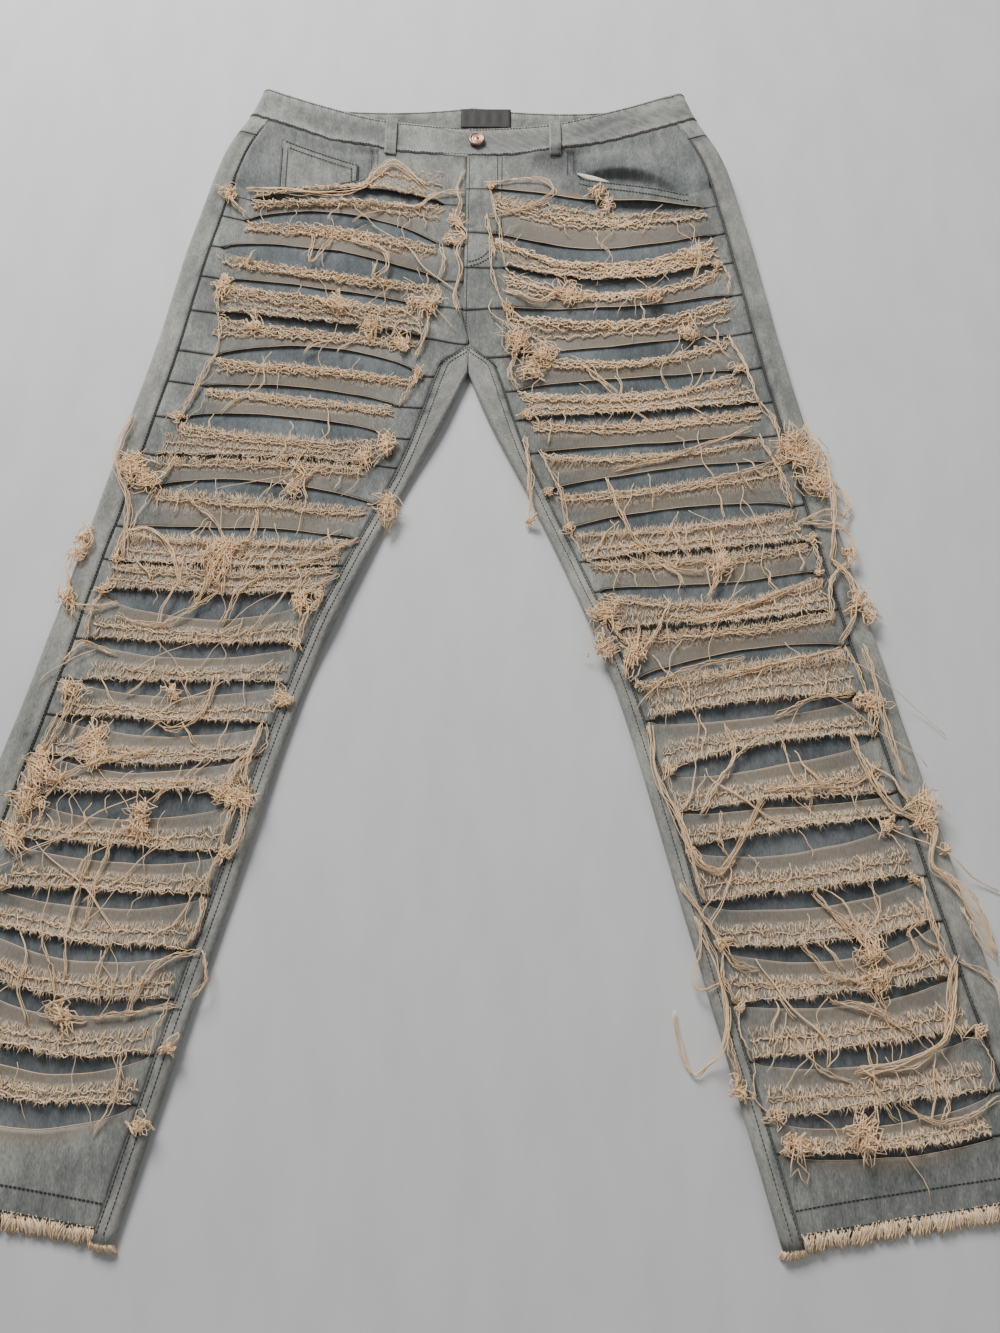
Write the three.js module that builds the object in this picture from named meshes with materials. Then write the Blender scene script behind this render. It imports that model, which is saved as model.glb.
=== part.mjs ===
// Ripped straight-leg jeans, laid flat on their back with the legs apart in an A.
// Millimetres. +Z is up and z = 0 is the surface that the garment lies on. +Y runs from the
// hems to the waist, and +X is the right side seen from above, with the hems nearest.
//
// Every place on the garment is given by x, the distance from its centre line, and by a level,
// the distance up the centre line from the hem's inner corner. Lines of one level rise towards
// the side seams, as the cloth's cross grain does when the legs are spread.

import * as THREE from 'three';
import { mergeVertices } from 'three/addons/utils/BufferGeometryUtils.js';

// ---- Driving dimensions ----

const DENIM = 1.5;
const BACKING_CLOTH = 1.0;
const POCKET_CLOTH = 1.0;
const WAISTBAND_CLOTH = 2.5;
const LABEL_CLOTH = 0.6;
const SEAM_GAP = 0.3;
const LAYER_GAP = 1.0;

const WAIST_SEAM_LEVEL = 1000;
const WAISTBAND_TOP_LEVEL = 1040;
const CROTCH_LEVEL = 770;
const LEG_GAP_LEVEL = 735;
const BACK_HEM_LEVEL = -6;
const FRINGE_LENGTH = 12;

// Half widths of the laid garment, as [level, distance from the centre line].
const SIDE_EDGE = [
  [-30, 462], [200, 408], [400, 367], [700, 310], [880, 280], [960, 259], [1000, 240], [1045, 226],
];
const LEG_INNER_EDGE = [[-30, 246], [230, 181], [442, 124], [589, 64], [697, 14], [735, 0]];

const HEM_RISE = 31;
const WAIST_RISE = 45;
const BACK_WAIST_RISE = 38;

const OUTSEAM_INSET = 24;
const INSEAM_INSET = 15;
const CROTCH_INSET = 28;
const FLY_OFFSET = 6;

// Heights of the laid layers: the middle of the front, and the top of the rolled side folds.
const LEG_MIDDLE_HEIGHT = 7;
const WAIST_MIDDLE_HEIGHT = 12;
const LEG_FOLD_HEIGHT = 9;
const WAIST_FOLD_HEIGHT = 22;
const LEG_FOLD_REACH = 45;
const WAIST_FOLD_REACH = 150;
const SEAT_LIFT = 1.8;

const SLIT_COUNT = 30;
const LOWEST_SLIT_LEVEL = 56;
const HIGHEST_SLIT_LEVEL = 897;
const LEG_SLIT_OPENING = 10;
const HIP_SLIT_OPENING = 6;
const FRONT_COLUMNS = [0, 0.08, 0.2, 0.33, 0.47, 0.49, 0.65, 0.8, 0.92, 1];

const MOUTH_START = 108;
const MOUTH_END = 220;
const MOUTH_TOP_LEVEL = 966;
const MOUTH_DROP = 49;
const MOUTH_LIP_LIFT = 3;
const POCKET_BAG_DEPTH = 140;

const BELT_LOOP = { width: 12, thickness: 1.5, rise: 1.6, overhang: 7, frontX: 87, backX: 150 };
const WAIST_BUTTON = { radius: 8.5, height: 4.2, x: 4, level: 1020 };

const COLOURS = {
  denim: 0x8a8c84,
  backing: 0x626a70,
  fringe: 0xc9b8a0,
  pocketBag: 0xe6d8c2,
  label: 0x24262a,
  copper: 0xa5745a,
};

// ---- Shape of the laid garment ----

function smoothstep(from, to, value) {
  return THREE.MathUtils.smoothstep(value, from, to);
}

// A smooth curve through [level, value] stations.
function throughStations(stations) {
  const curve = new THREE.CubicInterpolant(stations.map((s) => s[0]), stations.map((s) => s[1]), 1);
  return (level) => curve.evaluate(level)[0];
}

const sideEdge = throughStations(SIDE_EDGE);
const legInnerCurve = throughStations(LEG_INNER_EDGE);

function innerEdge(level) {
  return level < LEG_GAP_LEVEL ? Math.max(legInnerCurve(level), 0) + SEAM_GAP / 2 : SEAM_GAP / 2;
}

function seatLift(level) {
  return SEAT_LIFT * smoothstep(680, 750, level);
}

function foldHeight(level) {
  return LEG_FOLD_HEIGHT + (WAIST_FOLD_HEIGHT - LEG_FOLD_HEIGHT) * smoothstep(780, 1010, level);
}

function foldRadius(level) {
  return (foldHeight(level) - seatLift(level)) / 2;
}

// Height of the front's face: low in the middle, and rising to the rolled folds at its edges.
function frontHeight(x, level) {
  const middle = THREE.MathUtils.lerp(LEG_MIDDLE_HEIGHT, WAIST_MIDDLE_HEIGHT, smoothstep(690, 880, level));
  const reach = THREE.MathUtils.lerp(LEG_FOLD_REACH, WAIST_FOLD_REACH, smoothstep(760, 1000, level));
  const radius = foldRadius(level);
  const nearSide = 1 - smoothstep(0, reach, sideEdge(level) - radius - x);
  const belowCrotch = 1 - smoothstep(735, 790, level);
  const nearInner = (1 - smoothstep(0, LEG_FOLD_REACH, x - innerEdge(level) - radius)) * belowCrotch;
  return middle + (foldHeight(level) - middle) * Math.max(nearSide, nearInner);
}

// How far up the garment a place lies: its level, and the rise of the cross grain towards the side.
function upAlong(x, level, onBack = false) {
  const inner = innerEdge(level);
  const across = THREE.MathUtils.clamp((x - inner) / (sideEdge(level) - inner), 0, 1);
  const rise = THREE.MathUtils.lerp(HEM_RISE, WAIST_RISE, level / WAIST_SEAM_LEVEL);
  const bend = 1 + smoothstep(700, 1000, level);
  const backRise = onBack ? BACK_WAIST_RISE * smoothstep(770, 1000, level) * (1 - across) : 0;
  return level + rise * across ** bend + backRise;
}

const SLIT_LEVELS = spread(SLIT_COUNT - 1, LOWEST_SLIT_LEVEL, HIGHEST_SLIT_LEVEL);

// Levels of the sections that the legs and hips are carried through: at every other slit on the
// legs, at every slit on the hips, and close together round the crotch.
const CROTCH_SECTION_LEVELS = [LEG_GAP_LEVEL, CROTCH_LEVEL - 3, CROTCH_LEVEL + 1];
const SECTION_LEVELS = [
  -30, ...SLIT_LEVELS.filter((level, i) => i % 2 === 0 || level > 700), ...CROTCH_SECTION_LEVELS, 915,
  WAISTBAND_TOP_LEVEL + 5,
].sort((a, b) => a - b);

// A seam is straight from one section to the next, so that both of its pieces have one edge.
function straightBetweenSections(edge) {
  return (level) => {
    const above = SECTION_LEVELS.findIndex((station) => station > level);
    const [from, to] = [SECTION_LEVELS[above - 1], SECTION_LEVELS[above]];
    return THREE.MathUtils.mapLinear(level, from, to, edge(from), edge(to));
  };
}

// Distance of the inseam from the centre line, on the front. It closes to the centre at the crotch.
const inseamEdge = straightBetweenSections((level) => {
  const widening = THREE.MathUtils.lerp(INSEAM_INSET, CROTCH_INSET, smoothstep(600, LEG_GAP_LEVEL, level));
  return innerEdge(level) + widening * (1 - smoothstep(LEG_GAP_LEVEL, CROTCH_LEVEL, level));
});

const outseamEdge = straightBetweenSections((level) => sideEdge(level) - OUTSEAM_INSET);

// ---- Closed solids from sheets ----

// Joins a sheet's two faces and its rims into one closed body. Each face is a list of rows of
// points, and openRows lists the rows after which a slit lies, with no cloth to the next row.
function closedSheet(face, lining, openRows = []) {
  const positions = [];
  const triangles = [];
  const addQuad = (a, b, c, d) => {
    const first = positions.length / 3;
    [a, b, c, d].forEach((point) => positions.push(point.x, point.y, point.z));
    triangles.push(first, first + 1, first + 2, first, first + 2, first + 3);
  };
  const addRim = (row, reversed) => {
    for (let i = 0; i + 1 < face[row].length; i += 1) {
      const corners = [face[row][i], face[row][i + 1], lining[row][i + 1], lining[row][i]];
      addQuad(...(reversed ? corners.reverse() : corners));
    }
  };
  const lastRow = face.length - 1;
  const lastColumn = face[0].length - 1;
  for (let row = 0; row < lastRow; row += 1) {
    if (openRows.includes(row)) {
      addSlitWalls(face, lining, row, addQuad);
      continue;
    }
    for (let i = 0; i < lastColumn; i += 1) {
      addQuad(face[row][i], face[row][i + 1], face[row + 1][i + 1], face[row + 1][i]);
      addQuad(lining[row + 1][i], lining[row + 1][i + 1], lining[row][i + 1], lining[row][i]);
    }
    const nextFace = face[row + 1];
    const nextLining = lining[row + 1];
    addQuad(face[row][0], nextFace[0], nextLining[0], lining[row][0]);
    addQuad(lining[row][lastColumn], nextLining[lastColumn], nextFace[lastColumn], face[row][lastColumn]);
  }
  addRim(0, true);
  addRim(lastRow, false);
  return closedBody(positions, triangles);
}

// The two cut edges of a slit, where its lips stand apart.
function addSlitWalls(face, lining, row, addQuad) {
  for (let i = 0; i + 1 < face[row].length; i += 1) {
    const open = [i, i + 1].some((k) => face[row][k].distanceTo(face[row + 1][k]) > SEAM_GAP / 10);
    if (open) {
      addQuad(face[row][i], face[row][i + 1], lining[row][i + 1], lining[row][i]);
      addQuad(lining[row + 1][i], lining[row + 1][i + 1], face[row + 1][i + 1], face[row + 1][i]);
    }
  }
}

// Welds the corners, drops the triangles that have closed to a line, and turns all faces outwards.
function closedBody(positions, triangles) {
  const loose = new THREE.BufferGeometry();
  loose.setAttribute('position', new THREE.Float32BufferAttribute(positions, 3));
  loose.setIndex(triangles);
  const welded = mergeVertices(loose, 1e-3);
  const corners = Array.from(welded.index.array);
  const kept = [];
  for (let i = 0; i < corners.length; i += 3) {
    const [a, b, c] = corners.slice(i, i + 3);
    if (a !== b && b !== c && c !== a) {
      kept.push(a, b, c);
    }
  }
  const outward = signedVolume(welded, kept) > 0 ? kept : kept.reverse();
  welded.setIndex(outward);
  welded.computeVertexNormals();
  return welded;
}

function signedVolume(geometry, corners) {
  const place = geometry.getAttribute('position');
  const at = (i) => new THREE.Vector3().fromBufferAttribute(place, corners[i]);
  let volume = 0;
  for (let i = 0; i < corners.length; i += 3) {
    volume += at(i).dot(at(i + 1).cross(at(i + 2))) / 6;
  }
  return volume;
}

// ---- Sections round a leg or half the hips ----

// One point of a section: its place and the direction away from the cloth's inside.
function sectionPoint(x, z, outX, outZ, onBack) {
  return { x, z, outX, outZ, onBack };
}

function spread(count, from, to) {
  return Array.from({ length: count + 1 }, (_, i) => THREE.MathUtils.lerp(from, to, i / count));
}

// From a start on the front, out over the side fold and back along the underside to the centre.
function sideSection(level, start, topSteps) {
  const radius = foldRadius(level);
  const middle = seatLift(level) + radius;
  const foldX = sideEdge(level) - radius;
  const top = spread(topSteps, start, foldX).map((x) => sectionPoint(x, frontHeight(x, level), 0, 1, false));
  const fold = spread(4, Math.PI / 2, -Math.PI / 2).slice(1).map((angle) => {
    const out = [Math.cos(angle), Math.sin(angle)];
    return sectionPoint(foldX + radius * out[0], middle + radius * out[1], out[0], out[1], true);
  });
  return [...top, ...fold];
}

function undersideSection(level, steps) {
  const foldX = sideEdge(level) - foldRadius(level);
  const end = innerEdge(level) + innerFoldRadius(level);
  return spread(steps, foldX, end).slice(1).map((x) => sectionPoint(x, seatLift(level), 0, -1, true));
}

// The inner fold flattens to an upright seam at the crotch.
function innerFoldRadius(level) {
  return foldRadius(level) * (1 - smoothstep(700, 750, level));
}

// Round the inner fold and over to the inseam. Above the crotch it has closed to the centre seam.
function innerSection(level) {
  const radius = foldRadius(level);
  const middle = seatLift(level) + radius;
  const turn = spread(4, -Math.PI / 2, Math.PI / 2).slice(1);
  const flapSteps = 2;
  if (level >= CROTCH_LEVEL) {
    const seam = sectionPoint(innerEdge(level), seatLift(level), 0, -1, true);
    return Array.from({ length: turn.length + flapSteps }, () => seam);
  }
  const width = innerFoldRadius(level);
  const top = frontHeight(innerEdge(level) + width, level);
  const fold = turn.map((angle) => {
    const x = innerEdge(level) + width * (1 - Math.cos(angle));
    const z = middle + (top - middle) * Math.max(Math.sin(angle), 0) + radius * Math.min(Math.sin(angle), 0);
    return sectionPoint(x, z, -Math.cos(angle), Math.sin(angle), true);
  });
  const flapEnd = Math.max(inseamEdge(level), innerEdge(level) + width + SEAM_GAP);
  const flap = spread(flapSteps, innerEdge(level) + width, flapEnd).slice(1);
  return [...fold, ...flap.map((x) => sectionPoint(x, frontHeight(x, level), 0, 1, false))];
}

// Puts a section's points in place on one side (-1 is left, 1 is right), at a depth below its face.
function placeSection(points, levels, side, depth) {
  return points.map((point, i) => {
    const y = upAlong(point.x, levels[i], point.onBack);
    return new THREE.Vector3(side * (point.x - depth * point.outX), y, point.z - depth * point.outZ);
  });
}

// A sheet carried through sections. Each section is { points, levels }.
function sectionedSheet(sections, side, thickness) {
  const face = sections.map((section) => placeSection(section.points, section.levels, side, 0));
  const lining = sections.map((section) => placeSection(section.points, section.levels, side, thickness));
  return closedSheet(face, lining);
}

// A section of a back piece, whose level may change along it. levelAt takes 0 at the outseam
// and 1 at the centre of the underside, and past that it keeps its last value.
function backSection(levelAt, withInnerFold) {
  const toCentre = (level) => [
    ...sideSection(level, outseamEdge(level) + SEAM_GAP / 2, 2),
    ...undersideSection(level, 3),
  ];
  const build = (level) => (withInnerFold ? [...toCentre(level), ...innerSection(level)] : toCentre(level));
  const centre = toCentre(levelAt(0)).length - 1;
  const levels = build(levelAt(0)).map((_, i) => levelAt(Math.min(i / centre, 1)));
  const points = levels.map((level, i) => build(level)[i]);
  return { points, levels };
}

// ---- Layers that lie on or under the fronts ----

// A layer through rows of [x, level] places, with its face at a depth below the front's face.
function frontLayer(side, rows, depth, thickness, openRows = [], lift = () => 0) {
  const place = (row, down) => row.map(([x, level]) => {
    const height = frontHeight(Math.max(x, SEAM_GAP), level) + lift(x, level) - down;
    return new THREE.Vector3(side * x, upAlong(x, level), height);
  });
  const face = rows.map((row) => place(row, depth));
  const lining = rows.map((row) => place(row, depth + thickness));
  return closedSheet(face, lining, openRows);
}

// Level of the pocket mouth: it drops at once from the waistband, then runs out to the side seam.
function mouthLevel(x) {
  const along = THREE.MathUtils.clamp((x - MOUTH_START) / (MOUTH_END - MOUTH_START), 0, 1);
  return MOUTH_TOP_LEVEL - MOUTH_DROP * along ** 0.8;
}

function slitOpening(level) {
  return THREE.MathUtils.lerp(LEG_SLIT_OPENING, HIP_SLIT_OPENING, smoothstep(650, 800, level));
}

// ---- The pieces ----

function centreFrontEdge(side, level) {
  const fly = FLY_OFFSET * smoothstep(CROTCH_LEVEL, 800, level);
  return (side > 0 ? -fly : fly) + SEAM_GAP / 2;
}

function frontEdge(side, level) {
  return level < CROTCH_LEVEL ? inseamEdge(level) + SEAM_GAP : centreFrontEdge(side, level);
}

// The slashed front: rungs of denim between lens-shaped slits, up to the waistband and the pocket mouth.
function slashedFront(side) {
  const columnPlace = (fraction, level) => {
    const x = THREE.MathUtils.lerp(frontEdge(side, level), outseamEdge(level) - SEAM_GAP, fraction);
    return [x, level];
  };
  const straightRow = (level) => FRONT_COLUMNS.map((fraction) => columnPlace(fraction, level));
  const rows = [straightRow(0)];
  const openRows = [];
  const firstOpen = FRONT_COLUMNS[1];
  const lastOpen = FRONT_COLUMNS[FRONT_COLUMNS.length - 2];
  SLIT_LEVELS.forEach((level, i) => {
    const lip = (sign) => FRONT_COLUMNS.map((fraction) => {
      const across = THREE.MathUtils.clamp((fraction - firstOpen) / (lastOpen - firstOpen), 0, 1);
      const reach = 0.5 * slitOpening(level) * Math.sqrt(Math.sin(Math.PI * across));
      return columnPlace(fraction, level + sign * reach);
    });
    openRows.push(rows.length);
    rows.push(lip(-1), lip(1));
    const nextSlit = SLIT_LEVELS[i + 1];
    const crotchRows = CROTCH_SECTION_LEVELS.filter((between) => between > level && between < nextSlit);
    rows.push(...crotchRows.map(straightRow));
  });
  const topPlace = (fraction) => {
    const atWaist = columnPlace(fraction, WAIST_SEAM_LEVEL - SEAM_GAP / 2);
    let place = atWaist;
    for (let pass = 0; pass < 6 && atWaist[0] > MOUTH_START - 1; pass += 1) {
      place = columnPlace(fraction, mouthLevel(place[0]));
    }
    return place;
  };
  const halfwayUp = (fraction) => (topPlace(fraction)[1] + HIGHEST_SLIT_LEVEL) / 2;
  rows.push(FRONT_COLUMNS.map((fraction) => columnPlace(fraction, halfwayUp(fraction))));
  rows.push(FRONT_COLUMNS.map(topPlace));
  const lipLift = (x, level) => {
    const across = THREE.MathUtils.clamp((x - MOUTH_START) / (MOUTH_END - MOUTH_START), 0, 1);
    return side * MOUTH_LIP_LIFT * Math.sin(Math.PI * across) * smoothstep(-45, 0, level - mouthLevel(x));
  };
  return frontLayer(side, rows, 0, DENIM, openRows, side > 0 ? lipLift : undefined);
}

// The plain cloth behind the slits, from just above the hem to just below the pocket mouth.
function frontBacking(side) {
  const margin = 9;
  const flyClear = 44;
  const mouthClear = 28;
  const levels = [22, ...SECTION_LEVELS.filter((level) => level > 22 && level < 880), 915];
  const rows = levels.map((level) => {
    const from = Math.max(frontEdge(side, level) + margin, flyClear * smoothstep(740, 800, level));
    const belowMouth = (x) => Math.min(level, mouthLevel(x) - mouthClear);
    return spread(4, from, outseamEdge(level) - margin).map((x) => [x, belowMouth(x)]);
  });
  return frontLayer(side, rows, DENIM + LAYER_GAP, BACKING_CLOTH);
}

function backPanel(side) {
  const levels = SECTION_LEVELS.filter((level) => level > BACK_HEM_LEVEL && level < 920);
  const sections = [BACK_HEM_LEVEL, ...levels].map((level) => backSection(() => level, true));
  sections.push(backSection((along) => yokeSeamLevel(along) - SEAM_GAP / 2, true));
  return sectionedSheet(sections, side, DENIM);
}

// The yoke seam is low at the centre back and high at the side.
function yokeSeamLevel(along) {
  return THREE.MathUtils.lerp(978, 932, smoothstep(0.2, 1, along));
}

function backYoke(side) {
  const sections = [
    backSection((along) => yokeSeamLevel(along) + SEAM_GAP / 2, false),
    backSection((along) => (yokeSeamLevel(along) + WAIST_SEAM_LEVEL) / 2, false),
    backSection(() => WAIST_SEAM_LEVEL - SEAM_GAP / 2, false),
  ];
  return sectionedSheet(sections, side, DENIM);
}

// One long band: from its end under the fly, round the back, to its end over the fly.
function waistband() {
  const underEnd = -22;
  const overEnd = -FLY_OFFSET;
  const overlap = WAISTBAND_CLOTH + SEAM_GAP;
  const ring = (level, depth) => {
    const half = (side, end) => {
      const points = [...sideSection(level, end, 7), ...undersideSection(level, 3)];
      points[points.length - 1].x = 0;
      return placeSection(points, points.map(() => level), side, depth).map((place, i) => {
        const tucked = side < 0 && !points[i].onBack ? overlap * (1 - smoothstep(8, 45, points[i].x)) : 0;
        return place.setZ(place.z - tucked);
      });
    };
    return [...half(-1, underEnd), ...half(1, overEnd).reverse().slice(1)];
  };
  const levels = spread(2, WAIST_SEAM_LEVEL + SEAM_GAP / 2, WAISTBAND_TOP_LEVEL);
  const face = levels.map((level) => ring(level, 0));
  const lining = levels.map((level) => ring(level, WAISTBAND_CLOTH));
  return closedSheet(face, lining);
}

// A front belt loop bows up from the waistband between its two stitched ends.
function frontBeltLoop(side) {
  const { width, thickness, rise, overhang, frontX } = BELT_LOOP;
  const from = WAIST_SEAM_LEVEL - overhang;
  const to = WAISTBAND_TOP_LEVEL + 2;
  const rows = spread(8, from, to).map((level) => [[frontX - width / 2, level], [frontX + width / 2, level]]);
  const bow = (x, level) => {
    const along = (level - from) / (to - from);
    return rise * smoothstep(0, 0.2, along) * smoothstep(0, 0.2, 1 - along);
  };
  return frontLayer(side, rows, -thickness - SEAM_GAP, thickness, [], bow);
}

// A flat closed plate from an outline in plan, such as the patches on the underside.
function flatPlate(outline, thickness) {
  const shape = new THREE.Shape(outline.map(([x, y]) => new THREE.Vector2(x, y)));
  return new THREE.ExtrudeGeometry(shape, { depth: thickness, bevelEnabled: false });
}

function backBeltLoop(x) {
  const { width, thickness, overhang } = BELT_LOOP;
  const low = upAlong(Math.abs(x), WAIST_SEAM_LEVEL, true) - overhang;
  const high = upAlong(Math.abs(x), WAISTBAND_TOP_LEVEL, true);
  const half = width / 2;
  return flatPlate([[x - half, low], [x + half, low], [x + half, high], [x - half, high]], thickness);
}

function backPocket(side) {
  const inner = 48;
  const outer = 192;
  const top = 958;
  const low = 822;
  const point = 806;
  const tilt = 8;
  const outline = [
    [inner, top - tilt],
    [inner + 8, low - tilt],
    [(inner + outer) / 2, point],
    [outer - 8, low],
    [outer, top],
  ];
  return flatPlate(outline.map(([x, y]) => [side * x, y]), DENIM - SEAM_GAP);
}

// The facing fills the space between the pocket mouth and the waistband, and runs in under the front.
function pocketFacing(side) {
  const overlap = 22;
  const rows = [-1, 0, 1].map((row) => spread(6, MOUTH_START - 14, MOUTH_END - 3).map((x) => {
    const mouth = mouthLevel(x);
    const level = row < 0 ? mouth - overlap : THREE.MathUtils.lerp(mouth, WAIST_SEAM_LEVEL - SEAM_GAP, row);
    return [Math.min(x, outseamEdge(level) - 2 * SEAM_GAP), level];
  }));
  return frontLayer(side, rows, DENIM + LAYER_GAP, DENIM);
}

function pocketBag(side) {
  const rows = spread(3, MOUTH_TOP_LEVEL - POCKET_BAG_DEPTH, MOUTH_TOP_LEVEL - 10).map((level) => {
    const outer = Math.min(MOUTH_END - 16, outseamEdge(level) - 14);
    return spread(3, 64, outer).map((x) => [x, level - MOUTH_DROP * (x - 64) / (outer - 64)]);
  });
  return frontLayer(side, rows, 2 * DENIM + 1.5 * LAYER_GAP, POCKET_CLOTH);
}

// The small inner pocket lies on the left facing, and its foot is lost under the mouth's edge.
function coinPocket() {
  const inner = 120;
  const outer = 201;
  const footClear = 2;
  const rows = [0, 1].map((row) => spread(4, inner, outer).map((x) => {
    const top = THREE.MathUtils.lerp(978, 984, (x - inner) / (outer - inner));
    return [x, row ? top : mouthLevel(x) + footClear];
  }));
  return frontLayer(-1, rows, DENIM + LAYER_GAP - 2 * SEAM_GAP - BACKING_CLOTH, BACKING_CLOTH);
}

// The flap of denim behind the fly, which closes the front's opening from inside.
function flyShield() {
  const rows = spread(4, 800, WAIST_SEAM_LEVEL - 2).map((level) => {
    const half = 34 * smoothstep(740, 870, level);
    return spread(2, -half, half).map((x) => [x, level]);
  });
  return frontLayer(1, rows, DENIM + LAYER_GAP, DENIM);
}

function waistLabel() {
  const left = -14;
  const right = 40;
  const low = 1048;
  const high = upAlong(0, WAISTBAND_TOP_LEVEL, true) - 4;
  const plate = flatPlate([[left, low], [right, low], [right, high], [left, high]], LABEL_CLOTH);
  plate.translate(0, 0, SEAT_LIFT + WAISTBAND_CLOTH + SEAM_GAP);
  return plate;
}

// A turned metal button: a domed cap with a raised rim, on a short foot.
function waistButton() {
  const { radius, height, x, level } = WAIST_BUTTON;
  const profile = [
    [0, 0],
    [radius * 0.42, 0],
    [radius * 0.42, height * 0.35],
    [radius * 0.86, height * 0.42],
    [radius, height * 0.62],
    [radius * 0.97, height * 0.86],
    [radius * 0.82, height],
    [radius * 0.7, height * 0.86],
    [0, height * 0.92],
  ];
  const turned = new THREE.LatheGeometry(profile.map(([r, z]) => new THREE.Vector2(r, z)), 16);
  turned.rotateX(Math.PI / 2);
  turned.translate(x, upAlong(x, level), frontHeight(x, level) + SEAM_GAP);
  return turned;
}

// The reach of the frayed edge, below the front's raw hem and below the back's.
function frontHemFringe(side) {
  const rows = [-FRINGE_LENGTH, -SEAM_GAP].map((level) => {
    const from = frontEdge(side, level) + SEAM_GAP;
    return spread(6, from, outseamEdge(level) - SEAM_GAP).map((x) => [x, level]);
  });
  return frontLayer(side, rows, 0, DENIM);
}

function backHemFringe(side) {
  const top = BACK_HEM_LEVEL - SEAM_GAP;
  const sections = [top - FRINGE_LENGTH, top].map((level) => backSection(() => level, true));
  return sectionedSheet(sections, side, DENIM);
}

// ---- The garment ----

const garment = new THREE.Group();
garment.name = 'ripped_jeans';

function addPiece(name, geometry, colour, metalness = 0) {
  const roughness = metalness > 0 ? 0.35 : 0.9;
  const look = { color: colour, roughness, metalness, side: THREE.FrontSide };
  const material = new THREE.MeshStandardMaterial(look);
  const piece = new THREE.Mesh(geometry, material);
  piece.name = name;
  garment.add(piece);
}

[['left', -1], ['right', 1]].forEach(([name, side]) => {
  addPiece(`back_${name}`, backPanel(side), COLOURS.denim);
  addPiece(`back_yoke_${name}`, backYoke(side), COLOURS.denim);
  addPiece(`back_pocket_${name}`, backPocket(side), COLOURS.denim);
  addPiece(`front_${name}`, slashedFront(side), COLOURS.denim);
  addPiece(`front_backing_${name}`, frontBacking(side), COLOURS.backing);
  addPiece(`pocket_facing_${name}`, pocketFacing(side), COLOURS.denim);
  addPiece(`pocket_bag_${name}`, pocketBag(side), COLOURS.pocketBag);
  addPiece(`front_hem_fringe_${name}`, frontHemFringe(side), COLOURS.fringe);
  addPiece(`back_hem_fringe_${name}`, backHemFringe(side), COLOURS.fringe);
  addPiece(`belt_loop_front_${name}`, frontBeltLoop(side), COLOURS.denim);
  addPiece(`belt_loop_back_${name}`, backBeltLoop(side * BELT_LOOP.backX), COLOURS.denim);
});
addPiece('belt_loop_back_centre', backBeltLoop(0), COLOURS.denim);
addPiece('waistband', waistband(), COLOURS.denim);
addPiece('fly_shield', flyShield(), COLOURS.denim);
addPiece('coin_pocket', coinPocket(), COLOURS.denim);
addPiece('waist_label', waistLabel(), COLOURS.label);
addPiece('waist_button', waistButton(), COLOURS.copper, 0.9);

// The origin is under the middle of the garment, on the surface that it lies on.
const outside = new THREE.Box3().setFromObject(garment);
const middle = outside.getCenter(new THREE.Vector3());
garment.position.set(-middle.x, -middle.y, -outside.min.z);
garment.updateMatrixWorld(true);

export default garment;
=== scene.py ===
"""Looks of a pair of ripped jeans that lie flat on their back, with the legs apart.

Both fronts are slashed from the pockets to the hems. Each slash has a crisp lip and a frayed lip, or two
frayed ones, with a smooth backing cloth in between. Yarns hang from the frayed lips, run along them as
crinkled ropes, and cross the legs as loose strands, bundles and knots.

Everything is in metres. A place on the cloth is given by x, the distance from the garment's centre line on
one side of it, and by a level, the distance up the centre line from the hem's inner corner.
"""
import logging
import math
from dataclasses import dataclass, field
from enum import Enum

import bmesh
import bpy
import numpy as np
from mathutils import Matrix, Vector


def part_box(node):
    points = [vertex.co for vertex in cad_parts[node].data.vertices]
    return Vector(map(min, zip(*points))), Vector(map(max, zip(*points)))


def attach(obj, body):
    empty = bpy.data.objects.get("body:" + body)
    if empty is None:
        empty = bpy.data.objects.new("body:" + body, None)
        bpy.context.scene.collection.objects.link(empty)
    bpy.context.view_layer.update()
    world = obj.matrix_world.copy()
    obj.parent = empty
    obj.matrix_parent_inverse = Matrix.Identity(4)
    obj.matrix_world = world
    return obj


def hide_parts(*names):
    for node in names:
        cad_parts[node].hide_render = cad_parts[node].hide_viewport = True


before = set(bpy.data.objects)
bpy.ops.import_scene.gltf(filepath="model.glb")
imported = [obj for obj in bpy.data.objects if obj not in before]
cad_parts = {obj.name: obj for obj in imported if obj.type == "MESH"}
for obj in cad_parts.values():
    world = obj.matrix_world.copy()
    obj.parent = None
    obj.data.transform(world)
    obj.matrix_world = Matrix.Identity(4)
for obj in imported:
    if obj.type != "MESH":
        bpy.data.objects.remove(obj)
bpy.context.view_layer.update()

LOG = logging.getLogger("ripped_jeans")
Array = np.ndarray
Random = np.random.Generator
Piece = bpy.types.Object
Material = bpy.types.Material
Socket = bpy.types.NodeSocket
MM = 0.001
CM = 10.0 * MM
WELD = 0.01 * MM
BODY = "root"


class Side(Enum):
    """The side of the garment, as the sign of x seen from above the hems."""

    LEFT = -1
    RIGHT = 1

    @property
    def word(self) -> str:
        """The side's word in the names of nodes."""
        return self.name.lower()


class Slot(Enum):
    """The record's material slots."""

    DENIM = "denim"
    BACKING = "backing_denim"
    YARN = "frayed_yarn"
    POCKET = "pocket_cloth"
    LABEL = "label_cloth"
    METAL = "button_metal"


class RowStyle(Enum):
    """Which lips of a slash are frayed."""

    FRINGE_DOWN = "the upper lip hangs in a fringe, and the lower lip is crisp"
    ROPE_UP = "the lower lip is a crinkled rope, and the upper lip is crisp"
    DOUBLE = "both lips are frayed"


# Curves and noise

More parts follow.
